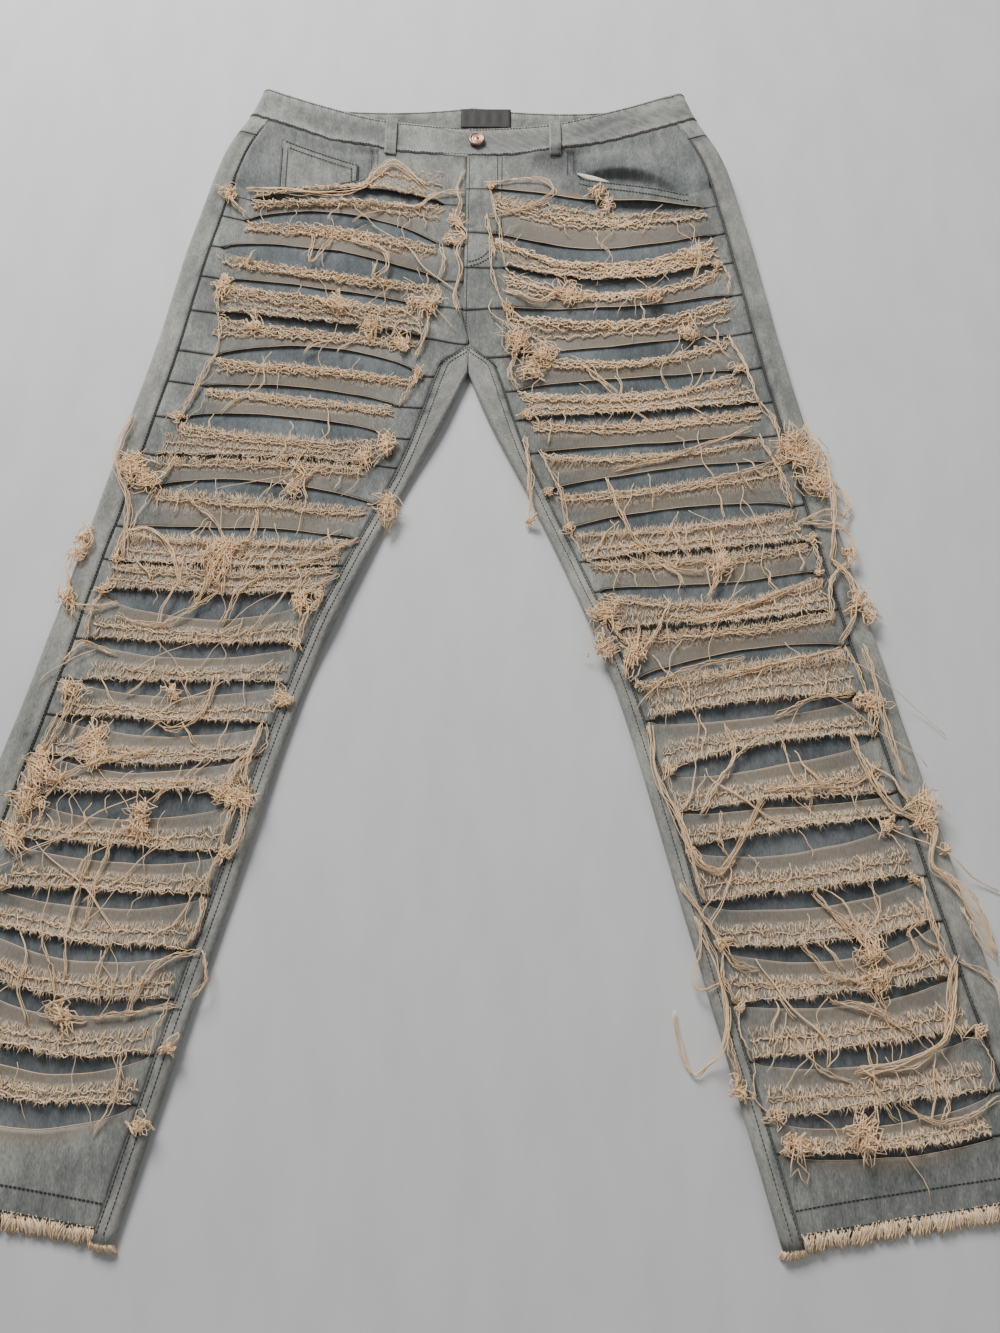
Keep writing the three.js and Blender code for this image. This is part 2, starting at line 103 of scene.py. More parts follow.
def smoothstep(low: float, high: float, value: Array) -> Array:
    """Rise smoothly from 0 at low to 1 at high, as 3t^2 - 2t^3."""
    t = np.clip((np.asarray(value, dtype=float) - low) / (high - low), 0.0, 1.0)
    return t * t * (3.0 - 2.0 * t)


def lerp(start: Array, end: Array, t: Array) -> Array:
    """Go in a straight line from start, where t is 0, to end, where t is 1."""
    return start + (end - start) * t


def through_stations(stations: tuple, level: Array) -> Array:
    """Follow a smooth curve through stations, a cubic with each station's slope taken across its neighbours.

    Args:
        stations: (level, value) pairs, in order.
        level: the levels to work out.

    Returns:
        The value at each level.
    """
    places, values = np.array(stations).T
    slopes = np.gradient(values, places)
    i = np.clip(np.searchsorted(places, level, side="right") - 1, 0, len(places) - 2)
    step = places[i + 1] - places[i]
    t = np.clip((level - places[i]) / step, 0.0, 1.0)
    start = values[i] * (1 + 2 * t) * (1 - t) ** 2 + slopes[i] * step * t * (1 - t) ** 2
    end = values[i + 1] * t * t * (3 - 2 * t) + slopes[i + 1] * step * t * t * (t - 1)
    return start + end


@dataclass(frozen=True)
class Wobble:
    """A smooth random line: a sum of sines whose waves get shorter and lower."""

    phases: Array
    first_wave: float
    fall: float

    @staticmethod
    def draw(rng: Random, first_wave: float, count: int, fall: float = 0.7) -> "Wobble":
        """Draw a wobble with its own phases."""
        return Wobble(rng.uniform(0.0, 2.0 * math.pi, count), first_wave, fall)

    def at(self, t: Array) -> Array:
        """Height at t: the mean of sin(2 pi first_wave 1.7^k t + phase k), weighted by fall^k."""
        total = sum(
            self.fall**k * np.sin(2.0 * math.pi * self.first_wave * 1.7**k * np.asarray(t) + phase)
            for k, phase in enumerate(self.phases)
        )
        return total / sum(self.fall**k for k in range(len(self.phases)))


# The laid garment's shape

@dataclass(frozen=True)
class Crease:
    """A soft ridge, or a trough if its height is negative, along a line on one side's front."""

    side: Side
    start: tuple
    end: tuple
    width: float
    height: float


@dataclass(frozen=True)
class LaidShape:
    """Outline and heights of the garment as it lies, as in its solids, with the cloth's own creases."""

    side_stations: tuple = (
        (-0.030, 0.462), (0.200, 0.408), (0.400, 0.367), (0.700, 0.310),
        (0.880, 0.280), (0.960, 0.259), (1.000, 0.240), (1.045, 0.226),
    )
    inner_stations: tuple = (
        (-0.030, 0.246), (0.230, 0.181), (0.442, 0.124), (0.589, 0.064), (0.697, 0.014), (0.735, 0.0),
    )
    leg_gap_level: float = 0.735
    crotch_level: float = 0.770
    waist_seam_level: float = 1.000
    waist_top_level: float = 1.040
    back_hem_level: float = -0.006
    seam_gap: float = 0.0003
    hem_rise: float = 0.031
    waist_rise: float = 0.045
    back_waist_rise: float = 0.038
    outseam_inset: float = 0.024
    inseam_inset: float = 0.015
    crotch_inset: float = 0.028
    fly_offset: float = 0.006
    mouth_start: float = 0.108
    mouth_end: float = 0.220
    mouth_top_level: float = 0.966
    mouth_drop: float = 0.049
    creases: tuple = field(default_factory=lambda: laid_creases())

    def side_edge(self, level: Array) -> Array:
        """Distance of the outer fold from the centre line."""
        return through_stations(self.side_stations, level)

    def inner_edge(self, level: Array) -> Array:
        """Distance of the leg's inner fold from the centre line, which the legs share above the gap."""
        leg = np.maximum(through_stations(self.inner_stations, level), 0.0)
        return np.where(level < self.leg_gap_level, leg, 0.0) + self.seam_gap / 2

    def seat_lift(self, level: Array) -> Array:
        """Height of the underside, which the back pockets lift off the surface under the seat."""
        return 1.8 * MM * smoothstep(0.680, 0.750, level)

    def fold_height(self, level: Array) -> Array:
        """Height of the rolled side folds, which stand up at the waist."""
        return 9.0 * MM + 13.0 * MM * smoothstep(0.780, 1.010, level)

    def fold_radius(self, level: Array) -> Array:
        """Half the side fold's height over the underside."""
        return (self.fold_height(level) - self.seat_lift(level)) / 2

    def height(self, x: Array, level: Array) -> Array:
        """Height of the front's face without creases: low in the middle, rising to the folds at its edges."""
        middle = lerp(7.0 * MM, 12.0 * MM, smoothstep(0.690, 0.880, level))
        reach = lerp(0.045, 0.150, smoothstep(0.760, 1.000, level))
        radius = self.fold_radius(level)
        beside = (self.side_edge(level) - radius - x) / reach
        inside = (x - self.inner_edge(level) - radius) / 0.045
        near_side = 1.0 - smoothstep(0.0, 1.0, beside)
        near_inner = (1.0 - smoothstep(0.0, 1.0, inside)) * (1.0 - smoothstep(0.735, 0.790, level))
        return middle + (self.fold_height(level) - middle) * np.maximum(near_side, near_inner)

    def relief(self, side: Side, x: Array, level: Array) -> Array:
        """Height that creases, slow waves and the waist seam's puckers add.

        Each crease is a bell curve of the distance to its line, and each wave a sine.

        Args:
            side: the side of the garment.
            x: distances from the centre line.
            level: levels, of the same shape.

        Returns:
            The added height at each place.
        """
        x, level = np.broadcast_arrays(np.asarray(x, dtype=float), np.asarray(level, dtype=float))
        shift = 0.7 if side is Side.LEFT else 2.1
        total = 0.8 * MM * np.sin(37.0 * level + 9.0 * x + shift)
        total = total + 0.7 * MM * np.sin(21.0 * level - 30.0 * x + shift)
        total = total + 0.5 * MM * np.sin(95.0 * level + 40.0 * x) * np.sin(31.0 * x + shift)
        for crease in self.creases:
            if crease.side is side:
                total = total + crease.height * self._nearness(crease, x, level)
        near_seam = np.exp(-(((level - self.waist_seam_level) / 0.012) ** 2))
        puckers = np.sin(520.0 * x + 3.0 * np.sin(60.0 * x)) * near_seam
        return total + 0.45 * MM * puckers

    @staticmethod
    def _nearness(crease: Crease, x: Array, level: Array) -> Array:
        """1 on the crease's line, falling to 0 as exp(-(distance / width)^2)."""
        start, end = np.array(crease.start), np.array(crease.end)
        run = end - start
        along = np.clip(((x - start[0]) * run[0] + (level - start[1]) * run[1]) / run.dot(run), 0.0, 1.0)
        away = (x - start[0] - along * run[0]) ** 2 + (level - start[1] - along * run[1]) ** 2
        return np.exp(-away / crease.width**2)

    def face(self, side: Side, x: Array, level: Array) -> Array:
        """Height of the front's face with its creases."""
        return self.height(np.maximum(x, self.seam_gap), level) + self.relief(side, x, level)

    def up_along(self, x: Array, level: Array, on_back: bool = False) -> Array:
        """How far up the garment a place lies: its level, and the cross grain's rise towards the side."""
        inner = self.inner_edge(level)
        across = np.clip((x - inner) / (self.side_edge(level) - inner), 0.0, 1.0)
        rise = lerp(self.hem_rise, self.waist_rise, level / self.waist_seam_level)
        bend = 1.0 + smoothstep(0.700, 1.000, level)
        back = self.back_waist_rise * smoothstep(0.770, 1.000, level) * (1.0 - across) if on_back else 0.0
        return level + rise * across**bend + back

    def inseam(self, level: Array) -> Array:
        """Distance of the inseam from the centre line: it closes to the centre at the crotch."""
        widening = lerp(self.inseam_inset, self.crotch_inset, smoothstep(0.600, self.leg_gap_level, level))
        closing = smoothstep(self.leg_gap_level, self.crotch_level, level)
        return self.inner_edge(level) + widening * (1.0 - closing)

    def outseam(self, level: Array) -> Array:
        """Distance of the outseam from the centre line."""
        return self.side_edge(level) - self.outseam_inset

    def front_edge(self, side: Side, level: Array) -> Array:
        """Inner edge of a front: the inseam below the crotch, and the fly's edge above it."""
        fly = self.fly_offset * smoothstep(self.crotch_level, 0.800, level) * -side.value
        below = self.inseam(level) + self.seam_gap
        return np.where(level < self.crotch_level, below, fly + self.seam_gap / 2)

    def along_mouth(self, x: Array) -> Array:
        """How far along the pocket mouth a place is, from 0 at its inner end to 1 at its outer end."""
        return np.clip((x - self.mouth_start) / (self.mouth_end - self.mouth_start), 0.0, 1.0)

    def mouth_level(self, x: Array) -> Array:
        """Level of the pocket mouth: it falls from its inner end as the 0.8th power of the way out."""
        return self.mouth_top_level - self.mouth_drop * self.along_mouth(x) ** 0.8

    def centre_y(self) -> float:
        """Garment's own y of the frame's origin, from the top corner of the waistband's solid."""
        top = float(self.up_along(np.array(1.0), np.array(self.waist_top_level)))
        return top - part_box("waistband")[1][1]

    def place(self, side: Side, x: Array, level: Array, z: Array, on_back: bool = False) -> Array:
        """Put places on the cloth into the frame.

        Args:
            side: the side of the garment.
            x: distances from the centre line.
            level: levels.
            z: heights.
            on_back: whether they follow the back's higher waist.

        Returns:
            The points, with a last axis of 3.
        """
        y = self.up_along(x, level, on_back) - self.centre_y()
        return np.stack(np.broadcast_arrays(side.value * x, y, z), axis=-1)


def laid_creases() -> tuple:
    """The main creases: whiskers from the crotch, knee and thigh folds, and dents down the side panels."""
    both = (
        ((0.020, 0.800), (0.130, 0.850), 0.010, 1.6), ((0.035, 0.772), (0.170, 0.795), 0.011, 1.8),
        ((0.060, 0.735), (0.200, 0.742), 0.012, 1.4), ((0.090, 0.690), (0.210, 0.686), 0.014, -1.2),
        ((0.120, 0.480), (0.240, 0.500), 0.018, 1.5), ((0.180, 0.440), (0.330, 0.425), 0.020, -1.2),
        ((0.200, 0.300), (0.300, 0.320), 0.022, 1.4), ((0.260, 0.160), (0.370, 0.170), 0.024, 1.2),
        ((0.285, 0.800), (0.300, 0.740), 0.012, -1.2), ((0.305, 0.690), (0.320, 0.620), 0.010, 1.0),
        ((0.340, 0.500), (0.352, 0.440), 0.012, -1.0), ((0.372, 0.330), (0.388, 0.270), 0.012, 1.0),
    )
    right_only = (((0.060, 0.995), (0.200, 1.028), 0.007, 2.2), ((0.120, 1.016), (0.215, 1.034), 0.006, -1.6))
    left_only = (((0.080, 0.985), (0.140, 1.020), 0.009, 1.6), ((0.150, 1.005), (0.205, 1.025), 0.008, -1.4))
    table = [(side, row) for side in Side for row in both]
    table += [(Side.RIGHT, row) for row in right_only] + [(Side.LEFT, row) for row in left_only]
    return tuple(
        Crease(side, start, end, width, 1.4 * height * MM) for side, (start, end, width, height) in table
    )


SHAPE = LaidShape()


# Meshes from arrays

def make_object(name: str, points: Array, faces: list, smooth: bool = True) -> Piece:
    """Make an object from arrays of points and faces.

    Args:
        name: the piece's name.
        points: the vertices, as rows of 3.
        faces: arrays of vertex numbers, each with one row per face and one column per corner.
        smooth: whether to shade it smooth.

    Returns:
        The object, at the origin.
    """
    mesh = bpy.data.meshes.new(name)
    corners = np.concatenate([block.ravel() for block in faces]).astype(np.int32)
    sizes = np.concatenate([np.full(len(block), block.shape[1]) for block in faces])
    starts = np.concatenate([[0], np.cumsum(sizes)[:-1]]).astype(np.int32)
    mesh.vertices.add(len(points))
    mesh.vertices.foreach_set("co", np.ascontiguousarray(points, dtype=np.float32).ravel())
    mesh.loops.add(len(corners))
    mesh.loops.foreach_set("vertex_index", corners)
    mesh.polygons.add(len(sizes))
    mesh.polygons.foreach_set("loop_start", starts)
    mesh.polygons.foreach_set("use_smooth", np.full(len(sizes), smooth))
    mesh.update(calc_edges=True)
    mesh.validate()
    piece = bpy.data.objects.new(name, mesh)
    bpy.context.scene.collection.objects.link(piece)
    return piece


def add_attribute(piece: Piece, name: str, values: Array) -> None:
    """Give each vertex a number that the piece's material reads."""
    attribute = piece.data.attributes.new(name, "FLOAT", "POINT")
    attribute.data.foreach_set("value", np.ascontiguousarray(values, dtype=np.float32).ravel())


def add_uv(piece: Piece, uv: Array) -> None:
    """Give the piece a UV map in metres of cloth: across the grain, then along it."""
    corners = np.empty(len(piece.data.loops), dtype=np.int32)
    piece.data.loops.foreach_get("vertex_index", corners)
    layer = piece.data.uv_layers.new(name="cloth")
    layer.data.foreach_set("uv", np.ascontiguousarray(uv[corners], dtype=np.float32).ravel())


def solidify(piece: Piece, thickness: float) -> None:
    """Give a sheet its thickness, inwards from its face."""
    wall = piece.modifiers.new("wall", "SOLIDIFY")
    wall.thickness = thickness
    wall.offset = -1.0


def weld(piece: Piece, distance: float = WELD) -> None:
    """Merge the points that lie on each other, which also drops faces that have closed to a line."""
    work = bmesh.new()
    work.from_mesh(piece.data)
    bmesh.ops.remove_doubles(work, verts=work.verts, dist=distance)
    work.to_mesh(piece.data)
    work.free()


class ClothPatches:
    """Collects grids of cloth that become one piece.

    A grid's columns run outwards over the top of the garment and its rows run up it, so its face is
    outside. On the left the face would be inside, so there its corners are taken in the other order.
    """

    def __init__(self) -> None:
        """Start with no patches."""
        self.points: list = []
        self.uv: list = []
        self.faces: list = []
        # One mark darkens the cloth as painted shade, and the pale wear mark also carries painted highlights
        # on the waistband.
        self.marks: dict = {"tan": [], "fray": [], "seam": [], "worn": [], "dusk": []}
        self.count = 0

    def add(self, points: Array, side: Side, uv: Array, **marks: Array) -> None:
        """Add one grid.

        Args:
            points: rows by columns by 3.
            side: the side of the garment, which sets the order of the corners.
            uv: rows by columns by 2, in metres of cloth.
            marks: tan, fray, seam, pale wear with painted highlights, and painted shade, each a number per
                point; those left out are 0.
        """
        rows, columns = points.shape[:2]
        index = np.arange(rows * columns).reshape(rows, columns) + self.count
        corners = [index[:-1, :-1], index[:-1, 1:], index[1:, 1:], index[1:, :-1]]
        quads = np.stack(corners, axis=-1).reshape(-1, 4)
        self.faces.append(quads if side is Side.RIGHT else quads[:, ::-1])
        self.points.append(points.reshape(-1, 3))
        self.uv.append(uv.reshape(-1, 2))
        for name, store in self.marks.items():
            store.append(np.broadcast_to(marks.get(name, 0.0), (rows, columns)).ravel())
        self.count += rows * columns

    def build(self, name: str) -> Piece:
        """Make one object of all the patches, with its UV map and marks."""
        piece = make_object(name, np.concatenate(self.points), self.faces)
        add_uv(piece, np.concatenate(self.uv))
        for mark, store in self.marks.items():
            add_attribute(piece, mark, np.concatenate(store))
        return piece


def flat_uv(x: Array, y: Array) -> Array:
    """UV of a sheet that lies flat: its own two coordinates."""
    return np.stack(np.broadcast_arrays(x, y), axis=-1)


def one_grid(name: str, side: Side, points: Array, uv: Array, **marks: Array) -> Piece:
    """Make a piece of one grid of cloth, as ClothPatches.add takes it."""
    patches = ClothPatches()
    patches.add(points, side, uv, **marks)
    return patches.build(name)


def seal(piece: Piece, distance: float = WELD) -> None:
    """Weld a closed piece where its edges meet and turn all its faces outwards."""
    weld(piece, distance)
    work = bmesh.new()
    work.from_mesh(piece.data)
    bmesh.ops.recalc_face_normals(work, faces=work.faces)
    work.to_mesh(piece.data)
    work.free()


def section_uv(points: Array, levels: Array) -> Array:
    """UV of a grid carried through sections: the way along each section, and the level."""
    steps = np.linalg.norm(np.diff(points, axis=1), axis=-1)
    along = np.concatenate([np.zeros((len(points), 1)), np.cumsum(steps, axis=1)], axis=1)
    return np.stack([along, np.broadcast_to(levels, along.shape)], axis=-1)


@dataclass
class Yarns:
    """Collects yarns, which become one mesh of thin closed tubes with a tint each."""

    sides: int = 3
    blocks: list = field(default_factory=list)

    def add(self, paths: Array, radii: Array, tint: Array, pointed: bool = False) -> None:
        """Add yarns that have the same number of points.

        Args:
            paths: yarns by points by 3.
            radii: yarns by points.
            tint: one number per yarn, from 0, grey, to 1, peach.
            pointed: whether each ends in a point rather than a cut end.
        """
        if len(paths):
            self.blocks.append((paths, np.broadcast_to(radii, paths.shape[:2]), np.asarray(tint), pointed))

    def build(self, name: str) -> Piece:
        """Carry a ring of points along each path: path + radius (cos a normal + sin a binormal)."""
        points, faces, tints = [], [], []
        count = 0
        for paths, radii, tint, pointed in self.blocks:
            rings = self._rings(paths, radii)
            if pointed:
                rings = rings[:, :-1]
            yarns, length = rings.shape[:2]
            index = np.arange(yarns * length * self.sides).reshape(yarns, length, self.sides) + count
            turned = np.roll(index, -1, axis=2)
            walls = [index[:, :-1], turned[:, :-1], turned[:, 1:], index[:, 1:]]
            faces.append(np.stack(walls, axis=-1).reshape(-1, 4))
            faces.append(index[:, 0, ::-1])
            points.append(rings.reshape(-1, 3))
            tints.append(np.repeat(tint, length * self.sides))
            count += yarns * length * self.sides
            if pointed:
                tips = np.repeat(np.arange(yarns) + count, self.sides).reshape(yarns, self.sides)
                faces.append(np.stack([index[:, -1], turned[:, -1], tips], axis=-1).reshape(-1, 3))
                points.append(paths[:, -1])
                tints.append(tint)
                count += yarns
            else:
                faces.append(index[:, -1])
        piece = make_object(name, np.concatenate(points), faces)
        add_attribute(piece, "tint", np.concatenate(tints))
        return piece

    def _rings(self, paths: Array, radii: Array) -> Array:
        """Rings square to each path, turned so that they don't twist about an upright line."""
        tangent = np.gradient(paths, axis=1)
        tangent /= np.linalg.norm(tangent, axis=-1, keepdims=True) + 1e-12
        steep = np.abs(tangent[..., 2:]) >= 0.9
        helper = np.where(steep, np.array([1.0, 0.0, 0.0]), np.array([0.0, 0.0, 1.0]))
        normal = np.cross(tangent, helper)
        normal /= np.linalg.norm(normal, axis=-1, keepdims=True) + 1e-12
        binormal = np.cross(tangent, normal)
        angle = 2.0 * math.pi * np.arange(self.sides) / self.sides
        cos_part = np.cos(angle)[:, None] * normal[:, :, None, :]
        sin_part = np.sin(angle)[:, None] * binormal[:, :, None, :]
        return paths[:, :, None, :] + radii[:, :, None, None] * (cos_part + sin_part)


# Finishes

class Shader:
    """A material's node tree, with short ways to add nodes and to join them."""

    def __init__(self, name: str) -> None:
        """Start a material with only its output and a principled shader."""
        self.material = bpy.data.materials.new(name)
        self.material.use_nodes = True
        self.tree = self.material.node_tree
        self.surface = self.tree.nodes["Principled BSDF"]

    def node(self, kind: str, **settings: object) -> bpy.types.Node:
        """Add a node of a kind and set its properties."""
        added = self.tree.nodes.new(kind)
        for key, value in settings.items():
            setattr(added, key, value)
        return added

    def join(self, source: Socket, target: Socket) -> None:
        """Join an output to an input."""
        self.tree.links.new(source, target)

    def attribute(self, name: str) -> Socket:
        """The number that each vertex of the piece carries under a name."""
        return self.node("ShaderNodeAttribute", attribute_name=name).outputs["Fac"]

    def noise(self, vector: Socket, scale: tuple, detail: float = 3.0, roughness: float = 0.55) -> Socket:
        """A noise whose grain has a size of its own in each direction.

        Args:
            vector: the coordinates.
            scale: how many grains there are in a metre, each way.
            detail: how many finer noises are added.
            roughness: how strong they are.

        Returns:
            The noise's value.
        """
        mapping = self.node("ShaderNodeMapping")
        mapping.inputs["Scale"].default_value = scale
        texture = self.node("ShaderNodeTexNoise")
        texture.inputs["Scale"].default_value = 1.0
        texture.inputs["Detail"].default_value = detail
        texture.inputs["Roughness"].default_value = roughness
        self.join(vector, mapping.inputs["Vector"])
        self.join(mapping.outputs["Vector"], texture.inputs["Vector"])
        return texture.outputs["Fac"]

    def ramp(self, value: Socket, stops: tuple) -> Socket:
        """Turn a number into a colour through (place, colour) stops."""
        ramp = self.node("ShaderNodeValToRGB")
        elements = ramp.color_ramp.elements
        for i, (place, colour) in enumerate(stops):
            element = elements[i] if i < 2 else elements.new(place)
            element.position = place
            element.color = (*colour, 1.0)
        self.join(value, ramp.inputs["Fac"])
        return ramp.outputs["Color"]

    def mix(self, factor: Socket, first: object, second: object, blend: str = "MIX") -> Socket:
        """Mix two colours, each a socket or a plain colour, by a number."""
        mixer = self.node("ShaderNodeMix", data_type="RGBA", blend_type=blend)
        self.join(factor, mixer.inputs["Factor"])
        for value, socket in ((first, mixer.inputs["A"]), (second, mixer.inputs["B"])):
            if isinstance(value, tuple):
                socket.default_value = (*value, 1.0)
            else:
                self.join(value, socket)
        return mixer.outputs["Result"]

    def math(self, operation: str, first: object, second: object) -> Socket:
        """Work out a number from two, each a socket or a plain number."""
        worker = self.node("ShaderNodeMath", operation=operation)
        for i, value in enumerate((first, second)):
            if isinstance(value, (int, float)):
                worker.inputs[i].default_value = value
            else:
                self.join(value, worker.inputs[i])
        return worker.outputs[0]

    def bump(self, height: Socket, distance: float, strength: float) -> None:
        """Raise the surface by a height, in metres at full strength."""
        bump = self.node("ShaderNodeBump")
        bump.inputs["Distance"].default_value = distance
        bump.inputs["Strength"].default_value = strength
        self.join(height, bump.inputs["Height"])
        self.join(bump.outputs["Normal"], self.surface.inputs["Normal"])

    def finish(self, colour: Socket, roughness: float) -> Material:
        """Put the colour and roughness on the surface and hand the material over."""
        self.join(colour, self.surface.inputs["Base Color"])
        self.surface.inputs["Roughness"].default_value = roughness
        return self.material


@dataclass(frozen=True)
class DenimFinish:
    """Washed twill: pale faded threads over a darker ground, slubs along the warp, and cloudy washing."""

    name: str
    dark: tuple
    middle: tuple
    light: tuple
    tan: tuple = (0.235, 0.190, 0.142)
    cream: tuple = (0.70, 0.57, 0.42)
    ink: tuple = (0.012, 0.016, 0.018)
    # A bluish multiply for painted shade round the openings, along the top of the fronts and on the pocket
    # facings.
    dusk: tuple = (0.594, 0.6615, 0.702)
    # Pale colour for wear on edges, folds and puckers, and for painted highlights on the waistband's edges
    # and puckers.
    rubbed: tuple = (0.50, 0.47, 0.41)
    # Dark colour for the hollows of the fluff: painted shade.
    fluff_painted_shade: tuple = (0.11, 0.095, 0.08)
    fluff_middle: tuple = (0.36, 0.30, 0.235)
    roughness: float = 0.92

    def build(self) -> Material:
        """Mix the wash from three noises, then lay the painted shade, tan, pale wear and painted highlight,
        frayed and seam marks over it.
        """
        shader = Shader(self.name)
        uv = shader.node("ShaderNodeUVMap", uv_map="cloth").outputs["UV"]
        place = shader.node("ShaderNodeTexCoord").outputs["Object"]
        clouds = shader.noise(place, (14.0, 14.0, 14.0), 4.0)
        slubs = shader.noise(uv, (800.0, 240.0, 1.0), 3.0, 0.75)
        streaks = shader.noise(uv, (150.0, 45.0, 1.0), 4.0, 0.7)
        wash = shader.math("ADD", shader.math("MULTIPLY", clouds, 0.42), shader.math("MULTIPLY", slubs, 0.34))
        wash = shader.math("ADD", wash, shader.math("MULTIPLY", streaks, 0.26))
        colour = shader.ramp(wash, ((0.40, self.dark), (0.63, self.light), (0.51, self.middle)))
        # Painted shade: darken by the bluish multiply where the cloth is marked for it.
        colour = shader.mix(shader.attribute("dusk"), colour, self.dusk, "MULTIPLY")
        tan_shade = shader.mix(slubs, tuple(0.5 * c for c in self.tan), tuple(1.65 * c for c in self.tan))
        colour = shader.mix(shader.attribute("tan"), colour, tan_shade)
        # Pale wear, which on the waistband's edges and puckers is also a painted highlight.
        wear_and_highlight_share = shader.math("MULTIPLY", shader.attribute("worn"), slubs)
        colour = shader.mix(wear_and_highlight_share, colour, self.rubbed)
        fray = shader.attribute("fray")
        tufts = shader.noise(uv, (620.0, 330.0, 1.0), 4.0, 0.75)
        # The fluff's colour follows the noise that bumps it: dark in its hollows as painted shade, and cream
        # on its tufts.
        fluff_stops = ((0.36, self.fluff_painted_shade), (0.66, self.cream), (0.50, self.fluff_middle))
        fluff = shader.ramp(tufts, fluff_stops)
        colour = shader.mix(fray, colour, fluff)
        colour = shader.mix(shader.attribute("seam"), colour, self.ink)
        grain = shader.math("MULTIPLY", shader.math("ADD", slubs, self._twill(shader, uv)), 0.25)
        grain = shader.math("ADD", grain, shader.math("MULTIPLY", fray, shader.math("MULTIPLY", tufts, 1.6)))
        shader.bump(grain, 1.2 * MM, 0.7)
        shader.surface.inputs["Sheen Weight"].default_value = 0.08
        return shader.finish(colour, self.roughness)

    def _twill(self, shader: Shader, uv: Socket) -> Socket:
        """Diagonal ribs, about 0.9 mm apart, across the cloth's UV."""
        turned = shader.node("ShaderNodeMapping")
        turned.inputs["Rotation"].default_value = (0.0, 0.0, math.radians(58.0))
        turned.inputs["Scale"].default_value = (340.0, 340.0, 1.0)
        ribs = shader.node("ShaderNodeTexWave", wave_type="BANDS", bands_direction="X")
        ribs.inputs["Scale"].default_value = 1.0
        ribs.inputs["Distortion"].default_value = 0.6
        shader.join(uv, turned.inputs["Vector"])
        shader.join(turned.outputs["Vector"], ribs.inputs["Vector"])
        return ribs.outputs["Fac"]


@dataclass(frozen=True)
class YarnFinish:
    """Loose cotton: each yarn has a tint from dusty grey through cream to peach, and lint along it."""

    name: str
    grey: tuple
    cream: tuple
    peach: tuple
    roughness: float = 0.95

    def build(self) -> Material:
        """Take the tint through a ramp and mottle it with a noise along the yarn."""
        shader = Shader(self.name)
        place = shader.node("ShaderNodeTexCoord").outputs["Object"]
        lint = shader.noise(place, (190.0, 190.0, 190.0), 4.0, 0.7)
        tint = shader.math("ADD", shader.attribute("tint"), shader.math("MULTIPLY", lint, 1.1))
        tint = shader.math("SUBTRACT", tint, 0.34)
        colour = shader.ramp(tint, ((0.10, self.grey), (1.05, self.peach), (0.62, self.cream)))
        shader.bump(lint, 0.25 * MM, 0.6)
        shader.surface.inputs["Sheen Weight"].default_value = 0.12
        return shader.finish(colour, self.roughness)


@dataclass(frozen=True)
class PlainClothFinish:
    """Plain weave with a fine grain both ways."""

    name: str
    low: tuple
    high: tuple
    scale: float
    roughness: float = 0.9

    def build(self) -> Material:
        """Mix two near colours by a fine noise, and raise the same noise as the weave."""
        shader = Shader(self.name)
        place = shader.node("ShaderNodeTexCoord").outputs["Object"]
        weave = shader.noise(place, (self.scale, 0.35 * self.scale, self.scale), 3.0)
        shader.bump(weave, 0.2 * MM, 0.5)
        return shader.finish(shader.ramp(weave, ((0.35, self.low), (0.65, self.high))), self.roughness)


@dataclass(frozen=True)
class CopperFinish:
    """Copper-coloured plate, bright and dull in patches of small scratches."""

    name: str
    dull: tuple = (0.16, 0.085, 0.06)
    bright: tuple = (0.60, 0.34, 0.24)

    def build(self) -> Material:
        """Mix dull and bright by a noise of small scratches."""
        shader = Shader(self.name)
        place = shader.node("ShaderNodeTexCoord").outputs["Object"]
        scratches = shader.noise(place, (500.0, 160.0, 500.0), 4.0, 0.7)
        shader.surface.inputs["Metallic"].default_value = 1.0
        shader.bump(scratches, 0.1 * MM, 0.3)
        return shader.finish(shader.ramp(scratches, ((0.35, self.dull), (0.62, self.bright))), 0.34)


class Wardrobe:
    """Holds one material for each finish and dresses the pieces in them."""

    def __init__(self) -> None:
        """Build every finish once."""
        self.denim = DenimFinish(
            "denim_wash", dark=(0.088, 0.096, 0.093), middle=(0.2, 0.204, 0.187), light=(0.4, 0.395, 0.35),
        ).build()
        self.backing = DenimFinish(
            "backing_wash",
            dark=(0.062, 0.071, 0.076), middle=(0.12, 0.134, 0.14), light=(0.215, 0.23, 0.232),
        ).build()
        self.yarn = YarnFinish(
            "cotton_yarn", grey=(0.36, 0.305, 0.235), cream=(0.96, 0.73, 0.49), peach=(1.0, 0.70, 0.41),
        ).build()
        self.thread = PlainClothFinish(
            "seam_thread", low=(0.016, 0.020, 0.022), high=(0.040, 0.046, 0.048), scale=900.0,
        ).build()
        self.pocket = PlainClothFinish(
            "pocket_cotton", low=(0.70, 0.60, 0.46), high=(0.86, 0.78, 0.64), scale=700.0,
        ).build()
        self.label = PlainClothFinish(
            "label_weave", low=(0.010, 0.008, 0.007), high=(0.026, 0.021, 0.018), scale=800.0, roughness=0.7,
        ).build()
        self.copper = CopperFinish("button_copper").build()

    @staticmethod
    def dress(piece: Piece, material: Material, slot: Slot, *nodes: str) -> Piece:
        """Finish a piece and tie it to the body.

        Args:
            piece: the new piece.
            material: its finish.
            slot: the record's slot for it; not used.
            nodes: the solids that it stands for.

        Returns:
            The same piece.
        """
        piece.data.materials.clear()
        piece.data.materials.append(material)
        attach(piece, BODY)
        if nodes:
            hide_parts(*nodes)
        LOG.info("%s: %d faces", piece.name, len(piece.data.polygons))
        return piece


# Backs, yokes and waistband: sheets carried round the side folds

